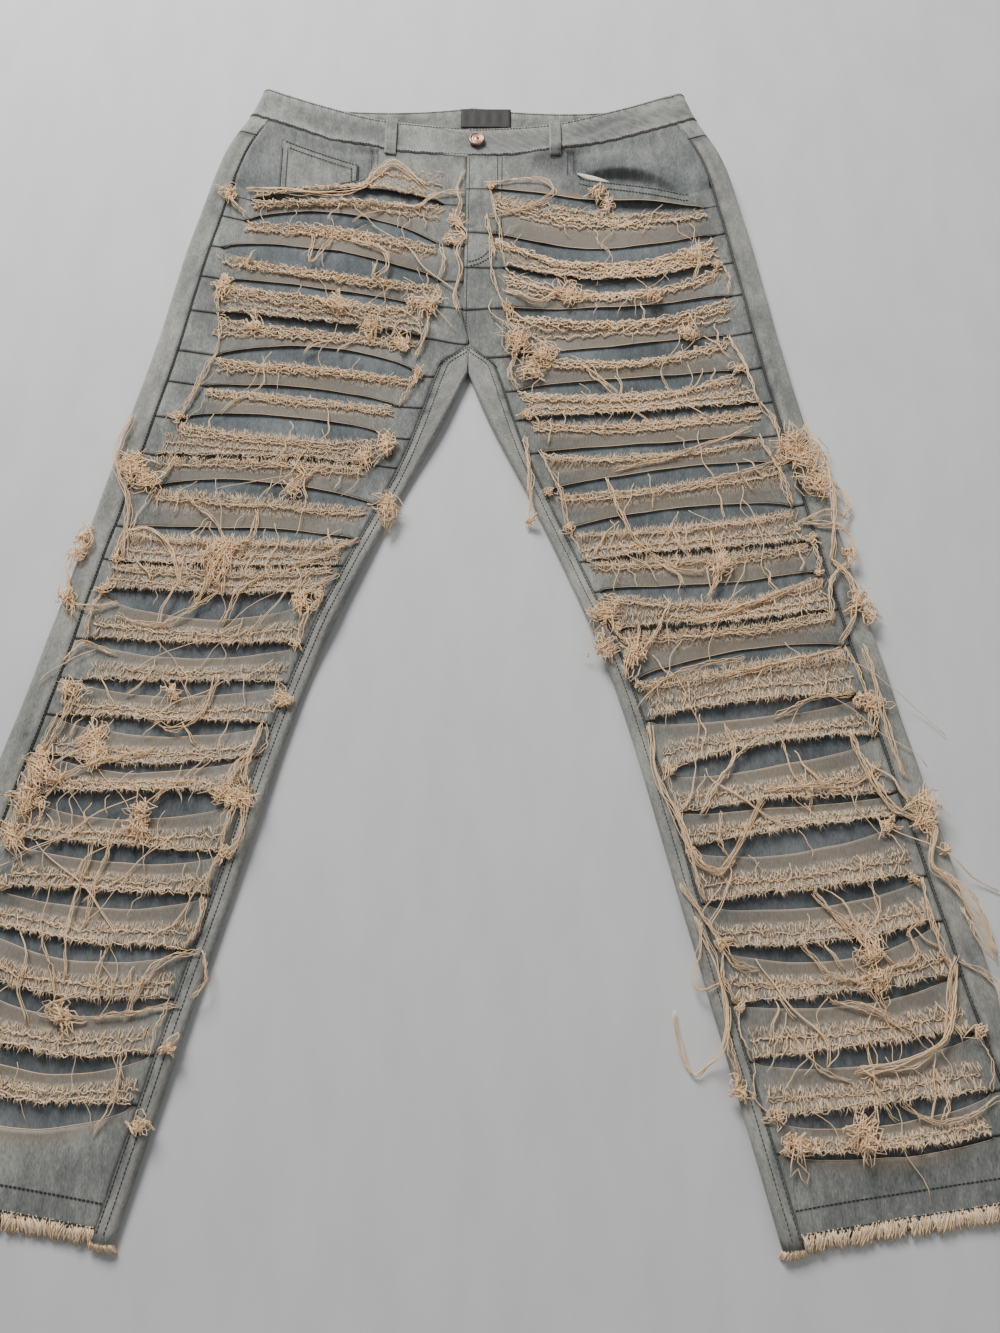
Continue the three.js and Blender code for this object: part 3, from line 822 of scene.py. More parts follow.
@dataclass(frozen=True)
class SectionPath:
    """Half of the garment's section, from a start on the front round the side fold to the back's centre.

    Along the section u runs from 0 to 1 on the front, from 1 to 2 round the fold, from 2 to 3 under the
    back, and from 3 to 4 round the inner fold of a leg, and then to 5 along the flap up to the inseam.
    """

    shape: LaidShape = SHAPE

    def points(self, side: Side, start: Array, level: Array, u: Array, depth: Array) -> Array:
        """Work out places along sections.

        On the front and the back z follows the laid shape. Round a fold x is the fold's middle plus its
        radius times the cosine of the turn, and z its middle height plus half its height times the sine.

        Args:
            side: the side of the garment.
            start: distance from the centre line where the section starts on the front.
            level: levels.
            u: places along the section, as above.
            depth: depth below the outer face.

        Returns:
            The points, with a last axis of 3.
        """
        shape = self.shape
        start, level, u, depth = np.broadcast_arrays(start, level, u, depth)
        radius = shape.fold_radius(level)
        fold_x = shape.side_edge(level) - radius
        under = shape.seat_lift(level)
        inner_radius = radius * (1.0 - smoothstep(0.700, 0.750, level))
        inner_x = shape.inner_edge(level) + inner_radius

        front_x = lerp(start, fold_x, np.clip(u, 0.0, 1.0))
        turn = math.pi * (0.5 - np.clip(u - 1.0, 0.0, 1.0))
        top = shape.face(side, fold_x, level)
        side_x = fold_x + (radius - depth) * np.cos(turn)
        side_z = (top + under) / 2 + ((top - under) / 2 - depth) * np.sin(turn)
        under_x = lerp(fold_x, inner_x, np.clip(u - 2.0, 0.0, 1.0))
        inner_turn = math.pi * (np.clip(u - 3.0, 0.0, 1.0) - 0.5)
        inner_top = shape.face(side, inner_x, level)
        round_x = inner_x - (inner_radius - depth) * np.cos(inner_turn)
        round_z = (inner_top + under) / 2 + ((inner_top - under) / 2 - depth) * np.sin(inner_turn)
        flap_x = lerp(inner_x, np.maximum(shape.inseam(level), inner_x), np.clip(u - 4.0, 0.0, 1.0))

        x = np.select([u <= 1, u <= 2, u <= 3, u <= 4], [front_x, side_x, under_x, round_x], flap_x)
        flap_z = shape.face(side, flap_x, level) - depth
        z = np.select(
            [u <= 1, u <= 2, u <= 3, u <= 4],
            [shape.face(side, front_x, level) - depth, side_z, under + depth, round_z], flap_z,
        )
        closed = (u > 3) & (level >= shape.crotch_level)
        x = np.where(closed, inner_x, x)
        z = np.where(closed, under + depth, z)
        on_front = shape.place(side, x, level, z)
        on_back = shape.place(side, x, level, z, on_back=True)
        return np.where(((u > 1.5) & (u < 3.5))[..., None], on_back, on_front)


@dataclass
class BackPieces:
    """The backs of the legs and seat, their yokes, and the pockets on the seat."""

    wardrobe: Wardrobe
    path: SectionPath = field(default_factory=SectionPath)
    denim: float = 1.2 * MM
    yoke_centre_level: float = 0.932
    yoke_side_level: float = 0.978

    def yoke_seam(self, u: Array) -> Array:
        """Level of the yoke seam: high at the side and low at the centre of the back."""
        return lerp(self.yoke_side_level, self.yoke_centre_level, smoothstep(1.4, 3.0, u))

    def back(self, side: Side) -> Piece:
        """Carry the whole section, with both folds, from the hem up to the yoke seam."""
        shape = self.path.shape
        steps = ((0, 1, 7), (1, 2, 13), (2, 3, 13), (3, 4, 10), (4, 5, 6))
        u = np.concatenate([np.linspace(a, b, n, endpoint=False) for a, b, n in steps] + [[5.0]])
        t = np.linspace(0.0, 1.0, 96)[:, None]
        level = lerp(shape.back_hem_level, self.yoke_seam(u) - shape.seam_gap, t)
        start = shape.outseam(level) + shape.seam_gap
        points = self.path.points(side, start, level, u[None, :], np.zeros_like(level))
        edge = smoothstep(0.9955, 1.0, 1.0 - np.minimum(u, 5.0 - u) / 60.0)[None, :]
        seam = np.maximum(0.75 * edge, 0.7 * smoothstep(0.996, 1.0, t))
        puckers = 0.5 + 0.5 * np.sin(570.0 * level + 9.0 * np.sin(31.0 * level) + 6.0 * u)
        beside = np.exp(-(((u - 0.25) / 0.30) ** 2)) + np.exp(-(((u - 4.7) / 0.4) ** 2))
        worn = self._fold_wear(u, level) + 0.9 * puckers * beside
        uv = section_uv(points, level)
        piece = one_grid(f"back_{side.word}_denim", side, points, uv, seam=seam, worn=worn)
        weld(piece)
        solidify(piece, self.denim)
        self.wardrobe.dress(piece, self.wardrobe.denim, Slot.DENIM, f"back_{side.word}")
        return piece

    @staticmethod
    def _fold_wear(u: Array, level: Array) -> Array:
        """Pale wear along both folds, strongest in the middle of the turn."""
        turn = np.exp(-(((u - 1.2) / 0.5) ** 2)) + np.exp(-(((u - 3.9) / 0.5) ** 2))
        return 0.55 * turn[None, :] * np.ones_like(level)

    def yoke(self, side: Side) -> Piece:
        """Carry the section between the yoke seam and the waistband."""
        shape = self.path.shape
        steps = ((0, 1, 7), (1, 2, 14), (2, 3, 22))
        u = np.concatenate([np.linspace(a, b, n, endpoint=False) for a, b, n in steps] + [[3.0]])
        t = np.linspace(0.0, 1.0, 14)[:, None]
        level = lerp(self.yoke_seam(u) + shape.seam_gap, shape.waist_seam_level - shape.seam_gap, t)
        start = shape.outseam(level) + shape.seam_gap
        points = self.path.points(side, start, level, u[None, :], np.zeros_like(level))
        seam = np.maximum(0.6 * smoothstep(0.04, 0.0, t), 0.5 * smoothstep(0.96, 1.0, t))
        uv, worn = section_uv(points, level), self._fold_wear(u, level)
        piece = one_grid(f"back_yoke_{side.word}_denim", side, points, uv, seam=seam, worn=worn)
        solidify(piece, self.denim)
        self.wardrobe.dress(piece, self.wardrobe.denim, Slot.DENIM, f"back_yoke_{side.word}")
        return piece

    def pocket(self, side: Side) -> Piece:
        """A patch pocket under the seat: straight sides, and a foot that comes to a point in the middle."""
        low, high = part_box(f"back_pocket_{side.word}")
        across = np.linspace(0.0, 1.0, 19)
        foot = low[1] + 0.014 * np.abs(2.0 * across - 1.0)
        t = np.linspace(0.0, 1.0, 17)[:, None]
        y = lerp(foot, high[1] - 0.008 * (1.0 - across), t)
        pull = lerp(0.006, 0.0, t) * (1.0 - 2.0 * across)
        x = lerp(low[0], high[0], across) + pull
        points = np.stack([x, y, np.full_like(y, high[2])], axis=-1)
        edge = np.minimum(np.minimum(t, 1.0 - t), np.minimum(across, 1.0 - across)[None, :])
        seam = 0.6 * smoothstep(0.03, 0.0, edge)
        piece = one_grid(f"back_pocket_{side.word}_denim", Side.RIGHT, points, flat_uv(x, y), seam=seam)
        solidify(piece, high[2] - low[2])
        self.wardrobe.dress(piece, self.wardrobe.denim, Slot.DENIM, f"back_pocket_{side.word}")
        return piece


@dataclass
class Waistband:
    """One long doubled band with a rounded top edge, from its end under the fly to its end over the fly."""

    wardrobe: Wardrobe
    path: SectionPath = field(default_factory=SectionPath)
    thickness: float = 2.4 * MM
    under_end: float = -0.022
    over_end: float = -0.006

    def _profile(self) -> tuple:
        """Closed outline of the band's section: up its face, round the top, down its lining and under."""
        shape = self.path.shape
        half = self.thickness / 2
        low, high = shape.waist_seam_level + shape.seam_gap, shape.waist_top_level - half
        up = np.linspace(low, high, 12)
        turn = np.linspace(0.0, math.pi, 7)[1:-1]
        level = np.concatenate([up, high + half * np.sin(turn), up[::-1], [low]])
        depth = np.concatenate([np.zeros(12), half - half * np.cos(turn), np.full(12, 2 * half), [0.0]])
        return level[:, None], depth[:, None]

    def _half(self, side: Side, end: float) -> Array:
        """Points of one half, columns from the front's end to the centre of the back."""
        steps = ((0, 1, 60), (1, 2, 16), (2, 3, 40))
        u = np.concatenate([np.linspace(a, b, n, endpoint=False) for a, b, n in steps] + [[3.0]])[None, :]
        level, depth = self._profile()
        points = self.path.points(side, np.array(end), level, u, depth)
        points[:, -1, 0] = 0.0
        front_x = np.abs(points[..., 0]) * np.where(points[..., 0] * side.value < 0, -1.0, 1.0)
        if side is Side.LEFT:
            tucked = (u <= 1.0) * (1.0 - smoothstep(0.008, 0.045, front_x))
            points[..., 2] -= (self.thickness + 0.5 * MM) * tucked
        return points

    def build(self) -> Piece:
        """Join the halves at the centre of the back and close both ends."""
        left = self._half(Side.LEFT, self.under_end)
        right = self._half(Side.RIGHT, self.over_end)[:, ::-1][:, 1:]
        points = np.concatenate([left, right], axis=1)
        level, depth = self._profile()
        seam = 0.8 * smoothstep(1.0030, 1.0004, level) * (depth <= 0) * np.ones(points.shape[:2])
        along = section_uv(points, level)[..., 0]
        # Pale at the rounded top edge and beside the seam, most on the puckers: partly wear, partly painted
        # highlight.
        puckers = 0.5 + 0.5 * np.sin(760.0 * along + 5.0 * np.sin(60.0 * along) + 500.0 * (level - 1.0))
        edges = smoothstep(1.026, 1.040, level) + 0.8 * smoothstep(1.014, 1.001, level)
        worn = (0.25 + 1.5 * puckers) * edges
        patches = ClothPatches()
        patches.add(points, Side.RIGHT, section_uv(points, level), seam=seam, worn=worn)
        rows, columns = points.shape[:2]
        index = np.arange(rows * columns).reshape(rows, columns)
        patches.faces.append(index[:-1, 0][None, :])
        patches.faces.append(index[:-1, -1][None, ::-1])
        piece = patches.build("waistband_denim")
        seal(piece)
        self.wardrobe.dress(piece, self.wardrobe.denim, Slot.DENIM, "waistband")
        return piece


# The slashed fronts

@dataclass(frozen=True)
class Slash:
    """One row of tearing across a front: an opening between two lips.

    f is the way across the front, from 0 at its inner edge to 1 at the outseam. The row's middle rises by
    tilt from its start to its end about its level, and bows up by bow between them.
    """

    style: RowStyle
    start: float
    end: float
    opening: float
    level: float
    tilt: float
    bow: float
    wobble: Wobble
    rag: Wobble
    waver: float = 1.2 * MM
    raggedness: float = 1.5 * MM

    def _along(self, f: Array) -> Array:
        """How far along the row a place is, from 0 at its start to 1 at its end."""
        return np.clip((f - self.start) / (self.end - self.start), 0.0, 1.0)

    def lens(self, f: Array) -> Array:
        """How far the row is open, of its widest: the 0.45th power of a half sine between its two ends."""
        return np.sin(math.pi * self._along(f)) ** 0.45

    def middle(self, f: Array) -> Array:
        """Level of the row's middle: a tilted line bowed by a half sine, which wavers a little."""
        t = self._along(f)
        line = self.level + self.tilt * (t - 0.5) + self.bow * np.sin(math.pi * t)
        return line + self.waver * self.wobble.at(f)

    def _half(self, f: Array, ragged: bool) -> Array:
        """Half the opening, with a ragged lip where it is frayed."""
        return self.lens(f) * (0.5 * self.opening + (self.raggedness * self.rag.at(f) if ragged else 0.0))

    def upper_lip(self, f: Array) -> Array:
        """Level of the lower edge of the cloth above."""
        return self.middle(f) + self._half(f, self.frayed_above())

    def lower_lip(self, f: Array) -> Array:
        """Level of the upper edge of the cloth below."""
        return self.middle(f) - self._half(f, self.frayed_below())

    def frayed_above(self) -> bool:
        """Whether the upper lip is frayed."""
        return self.style is not RowStyle.ROPE_UP

    def frayed_below(self) -> bool:
        """Whether the lower lip is frayed."""
        return self.style is not RowStyle.FRINGE_DOWN


def left_rows() -> tuple:
    """The left front's rows from the hem up.

    Returns:
        For each row its style, where it starts and ends across the front, and in millimetres its widest
        opening, its level, its tilt and its bow.
    """
    fringe, rope, double = RowStyle.FRINGE_DOWN, RowStyle.ROPE_UP, RowStyle.DOUBLE
    return (
        (fringe, 0.02, 0.95, 20, 80, -5, -15),
        (fringe, 0.02, 0.95, 15, 115, -5, -15),
        (fringe, 0.02, 0.95, 15, 155, -5, -15),
        (fringe, 0.02, 0.95, 15, 190, -5, -10),
        (fringe, 0.02, 0.90, 15, 225, -20, -5),
        (fringe, 0.02, 0.95, 15, 260, -15, -5),
        (fringe, 0.02, 0.90, 25, 300, -25, -5),
        (fringe, 0.02, 0.95, 8, 335, -25, -10),
        (fringe, 0.02, 0.95, 15, 365, -20, -5),
        (fringe, 0.02, 0.90, 15, 400, -25, -5),
        (fringe, 0.02, 0.95, 15, 435, -25, -5),
        (fringe, 0.02, 0.95, 25, 480, -25, -10),
        (double, 0.02, 0.95, 8, 510, -25, -5),
        (rope, 0.02, 0.95, 15, 540, -20, 0),
        (rope, 0.02, 0.90, 20, 580, -10, 5),
        (double, 0.10, 0.95, 8, 615, -20, 0),
        (rope, 0.10, 0.90, 25, 650, -10, 0),
        (rope, 0.10, 0.85, 15, 685, -5, 5),
        (rope, 0.05, 0.85, 25, 720, -5, 10),
        (double, 0.15, 0.90, 15, 765, 0, 0),
        (rope, 0.20, 0.90, 15, 805, 0, 0),
        (rope, 0.10, 0.95, 30, 840, 5, 5),
        (rope, 0.10, 0.90, 25, 880, 0, 20),
        (double, 0.10, 0.90, 20, 920, -30, 15),
    )


def right_rows() -> tuple:
    """The right front's rows from the hem up, given as in left_rows."""
    fringe, rope, double = RowStyle.FRINGE_DOWN, RowStyle.ROPE_UP, RowStyle.DOUBLE
    return (
        (fringe, 0.02, 0.90, 8, 50, -10, -5),
        (fringe, 0.02, 0.95, 15, 75, -5, -5),
        (fringe, 0.02, 0.97, 15, 115, -5, -5),
        (fringe, 0.02, 0.97, 10, 155, -5, -5),
        (fringe, 0.02, 0.97, 15, 195, -5, -10),
        (fringe, 0.02, 0.97, 15, 230, -5, -5),
        (fringe, 0.02, 0.97, 20, 275, 0, -5),
        (fringe, 0.02, 0.97, 8, 300, -10, 0),
        (fringe, 0.02, 0.97, 20, 340, 5, 0),
        (fringe, 0.02, 0.97, 15, 380, -5, 0),
        (rope, 0.02, 0.97, 15, 420, 5, 5),
        (double, 0.02, 0.97, 10, 460, -10, -5),
        (rope, 0.02, 0.97, 20, 495, -10, -10),
        (double, 0.02, 0.97, 10, 525, -10, 0),
        (rope, 0.02, 0.95, 20, 560, -5, 0),
        (rope, 0.02, 0.95, 20, 600, 0, 0),
        (rope, 0.05, 0.90, 15, 635, -10, -5),
        (double, 0.05, 0.95, 15, 670, -10, -5),
        (rope, 0.05, 0.90, 20, 705, -5, -5),
        (rope, 0.10, 0.90, 20, 745, -5, -10),
        (rope, 0.15, 0.95, 20, 795, -15, -15),
        (double, 0.15, 0.95, 20, 840, -25, -25),
        (rope, 0.10, 0.95, 25, 880, -35, -25),
        (rope, 0.10, 0.95, 15, 925, -60, 0),
    )


def hand_placed_rows(side: Side, seed: int) -> list:
    """One front's rows, each with its own waver and rag."""
    rng = np.random.default_rng(seed)
    rows = []
    for style, start, end, *sizes in left_rows() if side is Side.LEFT else right_rows():
        waver, rag = Wobble.draw(rng, 1.0, 4), Wobble.draw(rng, 9.0, 5, 0.85)
        rows.append(Slash(style, start, end, *(MM * size for size in sizes), waver, rag))
    return rows


@dataclass
class Rung:
    """A strip of front cloth between two rows, or between a row and the hem or the waist."""

    side: Side
    below: Slash | None
    above: Slash | None
    rng: Random
    shape: LaidShape = SHAPE
    gap: float = 0.3 * MM
    hanging_rise: float = 2.6 * MM
    standing_rise: float = 2.2 * MM
    ripple_rise: float = 0.7 * MM
    gape: float = 6.5 * MM

    def __post_init__(self) -> None:
        """Draw the strip's own ripples and curl."""
        self.ripple = Wobble.draw(self.rng, 3.0, 4)
        self.curl = self.rng.uniform(0.6, 1.3)

    def across(self, f: Array, level: Array) -> Array:
        """Distance from the centre line at a way f across the front."""
        inner = self.shape.front_edge(self.side, level)
        return lerp(inner, self.shape.outseam(level) - self.shape.seam_gap, f)

    def low(self, f: Array) -> Array:
        """Level of the strip's lower edge."""
        return self.below.upper_lip(f) + self.gap if self.below else np.zeros_like(f)

    def high(self, f: Array) -> Array:
        """Level of the strip's upper edge: the row above, or the waist seam and the pocket mouth."""
        if self.above:
            return self.above.lower_lip(f) - self.gap
        top = self.shape.waist_seam_level - self.shape.seam_gap
        x = self.across(f, np.full_like(f, self.shape.mouth_top_level))
        for _ in range(5):
            x = self.across(f, self.shape.mouth_level(x))
        mouth = self.shape.mouth_level(x)
        return lerp(top, mouth, smoothstep(self.shape.mouth_start - 0.003, self.shape.mouth_start + 0.001, x))

    def lift(self, f: Array, t: Array) -> Array:
        """Height over the laid face: frayed edges curl up, crisp ones lie low, and the free span ripples."""
        low_open = self.below.lens(f) if self.below else 0.0 * f
        high_open = self.above.lens(f) if self.above else 0.0 * f
        raised = 0.0 * f * t
        if self.below:
            amount = self.hanging_rise * self.curl if self.below.frayed_above() else -0.2 * MM
            raised = raised + amount * low_open * (1.0 - t) ** 2
        if self.above:
            amount = self.standing_rise * self.curl if self.above.frayed_below() else -0.5 * MM
            raised = raised + amount * high_open * t**2
        return raised + self.ripple_rise * self.ripple.at(f) * np.minimum(low_open, high_open)

    def mouth_lip(self, x: Array, level: Array) -> Array:
        """Extra height of the right pocket's gaping lip: half a sine across it, dying out 45 mm below."""
        if self.above or self.side is Side.LEFT:
            return 0.0 * x
        arch = np.sin(math.pi * self.shape.along_mouth(x))
        return self.gape * arch * smoothstep(-0.045, 0.0, level - self.shape.mouth_level(x))

    def fly_lift(self, x: Array, level: Array) -> Array:
        """Added height at the fly: the right front's edge stands up, and the left one dips under it."""
        above_crotch = smoothstep(0.785, 0.815, level)
        if self.side is Side.RIGHT:
            return 1.7 * MM * above_crotch * (1.0 - smoothstep(0.002, 0.036, x + 0.006))
        return -0.8 * MM * above_crotch * (1.0 - smoothstep(0.0, 0.020, x - 0.006))

    def surface(self, f: Array, t: Array) -> tuple:
        """Place on the strip's face, t up from its lower edge: its distance out, level and height."""
        level = lerp(self.low(f), self.high(f), t)
        x = self.across(f, level)
        z = self.shape.face(self.side, x, level) + self.lift(f, t) + self.mouth_lip(x, level)
        return x, level, z + self.fly_lift(x, level)


@dataclass
class SlashedFront:
    """One front: its strips in one piece, the backing behind them, and what hangs off their edges."""

    wardrobe: Wardrobe
    side: Side
    seed: int
    shape: LaidShape = SHAPE
    cloth: float = 0.9 * MM

    def __post_init__(self) -> None:
        """Lay out the rows and the strips between them."""
        self.rows = hand_placed_rows(self.side, self.seed)
        rng = np.random.default_rng(self.seed + 100)
        edges = [None, *self.rows, None]
        self.rungs = [Rung(self.side, a, b, rng, self.shape) for a, b in zip(edges[:-1], edges[1:])]

    def build_cloth(self) -> Piece:
        """Build every strip as a grid and join them as one piece of cloth."""
        patches = ClothPatches()
        for rung in self.rungs:
            f = np.linspace(0.0, 1.0, 58)
            if rung.above is None:
                f = np.union1d(f, np.linspace(0.455, 0.510, 12))
            steps = 22 if rung.above is None else 7
            t = 0.5 - 0.5 * np.cos(math.pi * np.linspace(0.0, 1.0, steps))
            if rung.above is not None:
                t = np.union1d(t, [0.33, 0.42, 0.58, 0.67])
            grid_f, grid_t = np.meshgrid(f, t)
            x, level, z = rung.surface(grid_f, grid_t)
            points = self.shape.place(self.side, x, level, z)
            patches.add(points, self.side, flat_uv(x, level), **self._marks(rung, grid_f, grid_t))
        piece = patches.build(f"front_{self.side.word}_slashed")
        solidify(piece, self.cloth)
        self.wardrobe.dress(piece, self.wardrobe.denim, Slot.DENIM, f"front_{self.side.word}")
        return piece

    @staticmethod
    def _marks(rung: Rung, f: Array, t: Array) -> dict:
        """Marks for the finish.

        The open span of a strip is tan, its frayed edges are cream, its crisp edges are pale with wear, its
        closed ends have a dark line, and the cloth round the openings and at the pocket mouth is darkened
        with painted shade.

        Args:
            rung: the strip.
            f: ways across.
            t: ways up the strip.

        Returns:
            The marks, as ClothPatches.add takes them.
        """
        low_open = rung.below.lens(f) if rung.below else 0.0 * f
        high_open = rung.above.lens(f) if rung.above else 0.0 * f
        low_side = 1.0 - smoothstep(0.55, 0.68, t + 0.06 * rung.ripple.at(f))
        high_side = smoothstep(0.36, 0.52, t + 0.08 * rung.ripple.at(f))
        fray = np.zeros_like(t)
        tan = np.zeros_like(t)
        if rung.below:
            fray = np.maximum(fray, low_open * low_side) if rung.below.frayed_above() else fray
        if rung.above:
            fray = np.maximum(fray, high_open * high_side) if rung.above.frayed_below() else fray
        dusk = np.zeros_like(t)
        if rung.below and rung.above:
            tan = np.minimum(low_open, high_open) ** 1.5
            # Painted shade round the openings.
            dusk = 0.8 * np.maximum(low_open, high_open)
        elif rung.above:
            tan = high_open**2 * smoothstep(0.75, 0.95, t)
        elif rung.below:
            tan = low_open**2 * (1.0 - smoothstep(0.05, 0.2, t))
        edge = np.maximum((1.0 - low_open) * (t < 0.02), (1.0 - high_open) * (t > 0.98))
        crisp = np.maximum(low_open * (t < 0.02), high_open * (t > 0.98))
        seam = 0.7 * edge**0.5
        if rung.above is None:
            seam = np.maximum(seam, 0.8 * (t > 0.99))
            # Painted shade along the top of the strip, at the pocket mouth and under the waist seam.
            dusk = 0.55 * smoothstep(0.80, 0.97, t) * np.ones_like(f)
        return {"tan": 0.85 * tan, "fray": 0.95 * fray, "seam": seam, "worn": 1.2 * crisp, "dusk": dusk}

    def build_backing(self) -> Piece:
        """The smooth cloth behind the strips, from just above the hem to just below the pocket."""
        t = np.linspace(0.0, 1.0, 96)[:, None]
        f = np.linspace(0.0, 1.0, 26)[None, :]
        level = lerp(0.010, 0.965, t) * np.ones_like(f)
        inner = np.maximum(
            self.shape.front_edge(self.side, level) + 0.004, 0.030 * smoothstep(0.740, 0.800, level)
        )
        x = lerp(inner, self.shape.outseam(level) - 0.005, f)
        level = np.minimum(level, self.shape.mouth_level(x) - 0.009 * smoothstep(0.10, 0.12, x))
        z = self.shape.face(self.side, x, level) - 2.2 * MM + 0.3 * MM * np.sin(180.0 * level + 25.0 * x)
        points = self.shape.place(self.side, x, level, z)
        piece = one_grid(f"front_backing_{self.side.word}_cloth", self.side, points, flat_uv(x, level))
        solidify(piece, 0.7 * MM)
        self.wardrobe.dress(piece, self.wardrobe.backing, Slot.BACKING, f"front_backing_{self.side.word}")
        return piece


@dataclass
class FrayedEdges:
    """Yarns on the lips of one front: hairs over frayed ones, and ropes or a pale thread along them."""

    wardrobe: Wardrobe
    front: SlashedFront
    seed: int
    hairs_per_metre: float = 2700.0
    front_width: float = 0.21
    shape: LaidShape = SHAPE

    def build(self) -> list:
        """Build the hairs and the ropes of the lower and the upper rows as pieces of their own."""
        rng = np.random.default_rng(self.seed)
        pieces = []
        bands = (("lower", 0.0, 0.48), ("upper", 0.48, 1.1))
        for band, from_level, to_level in bands:
            hairs, ropes = Yarns(), Yarns()
            for rung in self.front.rungs:
                for row, sign in ((rung.below, -1), (rung.above, 1)):
                    if row is None or not from_level <= row.level < to_level:
                        continue
                    if row.frayed_above() if sign < 0 else row.frayed_below():
                        self._hang(rung, row, sign, hairs, rng)
                        self._crinkle(rung, row, sign, ropes, rng)
                    else:
                        self._pipe(rung, row, sign, ropes, rng)
            for kind, yarns in (("fringe", hairs), ("ropes", ropes)):
                piece = yarns.build(f"{kind}_{self.front.side.word}_{band}")
                self.wardrobe.dress(piece, self.wardrobe.yarn, Slot.YARN)
                pieces.append(piece)
        return pieces

    def _hang(self, rung: Rung, row: Slash, sign: int, yarns: Yarns, rng: Random) -> None:
        """Hairs over a frayed lip: each starts on the cloth, leans, arches up and comes down past the lip.

        Args:
            rung: the strip that the hairs are on.
            row: the row that frays it.
            sign: -1 where the lip is the strip's lower edge, and 1 where it is its upper edge.
            yarns: where the hairs are added.
            rng: the random numbers.
        """
        width = (row.end - row.start) * self.front_width
        hip = float(smoothstep(0.62, 0.80, row.level))
        count = int(width * lerp(self.hairs_per_metre, 0.55 * self.hairs_per_metre, hip))
        f = rng.uniform(row.start + 0.01, row.end - 0.01, count)
        upper = rng.uniform(size=count) < 0.5
        low_t = np.where(upper, rng.uniform(0.36, 0.64, count), rng.uniform(0.0, 0.30, count))
        t = low_t if sign < 0 else rng.uniform(0.5, 1.0, count)
        x, level, z = rung.surface(f, t)
        clump = np.sin(f * 170.0 + 6.0 * np.sin(f * 23.0 + row.level * 90.0))
        lip = row.upper_lip(f) if sign < 0 else row.lower_lip(f)
        length = np.abs(level - lip) + rng.uniform(0.0025, 0.0070, count) * row.lens(f) * (1.0 + 0.3 * clump)
        if sign < 0:
            length = np.where(upper, rng.uniform(0.0045, 0.0080, count) * (1.0 + 0.2 * clump), length)
        length = length * lerp(1.0, 0.75, hip)
        lean = rng.normal(0.0, lerp(0.28, 0.8, hip), count) + 0.25 * clump
        k = np.array([[0.0, 0.5, 1.0]])
        curl = rng.uniform(0.3, 1.2, count)[:, None] * MM * lerp(1.0, 1.7, hip)
        phase = rng.uniform(0.0, 2.0 * math.pi, count)[:, None]
        side_step = lean[:, None] * length[:, None] * k + curl * np.sin(4.4 * k + phase)
        run = sign * length[:, None] * k * np.cos(0.35 * k)
        arch = rng.uniform(0.5, 2.6, count)[:, None] * MM
        path_x = x[:, None] + side_step
        path_level = level[:, None] + run
        floor = self.shape.face(rung.side, path_x, path_level) - 1.2 * MM
        path_z = np.maximum(z[:, None] + arch * np.sin(2.6 * k) + 0.2 * MM, floor)
        radii = rng.uniform(0.20, 0.36, count)[:, None] * MM * np.ones_like(k)
        grey = rng.uniform(size=count) < lerp(0.60, 0.45, hip)
        tint = np.where(grey, rng.uniform(0.0, 0.35, count), rng.uniform(0.40, 0.85, count))
        yarns.add(self.shape.place(rung.side, path_x, path_level, path_z), radii, tint, pointed=True)

    def _crinkle(self, rung: Rung, row: Slash, sign: int, yarns: Yarns, rng: Random) -> None:
        """Ropes along a frayed lip: yarns that wander about lines near it, each with a crinkle of its own."""
        hip = float(smoothstep(0.60, 0.80, row.level))
        steps = int(lerp(80, 104, hip))
        strands = 4 if sign < 0 else 5 + int(round(4 * hip))
        for strand in range(strands):
            whole = lerp(0.7, 0.45, hip)
            from_f, to_f = row.start, row.end
            from_f = from_f + 0.02 * rng.uniform() if rng.uniform() < whole else rng.uniform(from_f, 0.5)
            to_f = to_f - 0.02 * rng.uniform() if rng.uniform() < whole else rng.uniform(0.55, to_f)
            f = np.linspace(from_f, to_f, steps)
            low_t = 0.36 if strand % 2 else 0.04
            t = np.full(steps, low_t if sign < 0 else rng.uniform(lerp(0.7, 0.40, hip), 1.0))
            x, level, z = rung.surface(f, t)
            waves, heave = Wobble.draw(rng, 14.0, 4, 0.95), Wobble.draw(rng, 12.0, 4, 0.95)
            sway, drift = Wobble.draw(rng, 14.0, 4, 0.95), Wobble.draw(rng, 2.0, 2)
            width = lerp(2.2, 4.0, hip) * MM
            level = level + sign * 0.8 * MM + width * waves.at(f) + 1.8 * MM * drift.at(f)
            x = x + lerp(2.2, 3.2, hip) * MM * sway.at(f)
            z = z + 0.9 * MM + lerp(0.9, 2.2, hip) * MM * np.abs(heave.at(f))
            path = self.shape.place(rung.side, x, level, z)[None]
            radii = lerp(0.48, 0.66, hip) * MM * (0.8 + 0.35 * np.abs(drift.at(3.0 * f)))[None]
            tint = rng.uniform(0.1, 0.4) if rng.uniform() < 0.3 else rng.uniform(0.5, 0.95)
            yarns.add(path, radii, np.array([tint]))

    def _pipe(self, rung: Rung, row: Slash, sign: int, yarns: Yarns, rng: Random) -> None:
        """A pale thread that lies along a crisp lip."""
        f = np.linspace(row.start, row.end, 40)
        x, level, z = rung.surface(f, np.full(40, 0.0 if sign < 0 else 1.0))
        radii = 0.28 * MM * np.sin(math.pi * np.linspace(0.02, 0.98, 40))[None] ** 0.4
        path = self.shape.place(rung.side, x, level, z + 0.05 * MM)[None]
        yarns.add(path, radii, np.array([rng.uniform(0.45, 0.7)]))


# Loose strands, bundles and knots

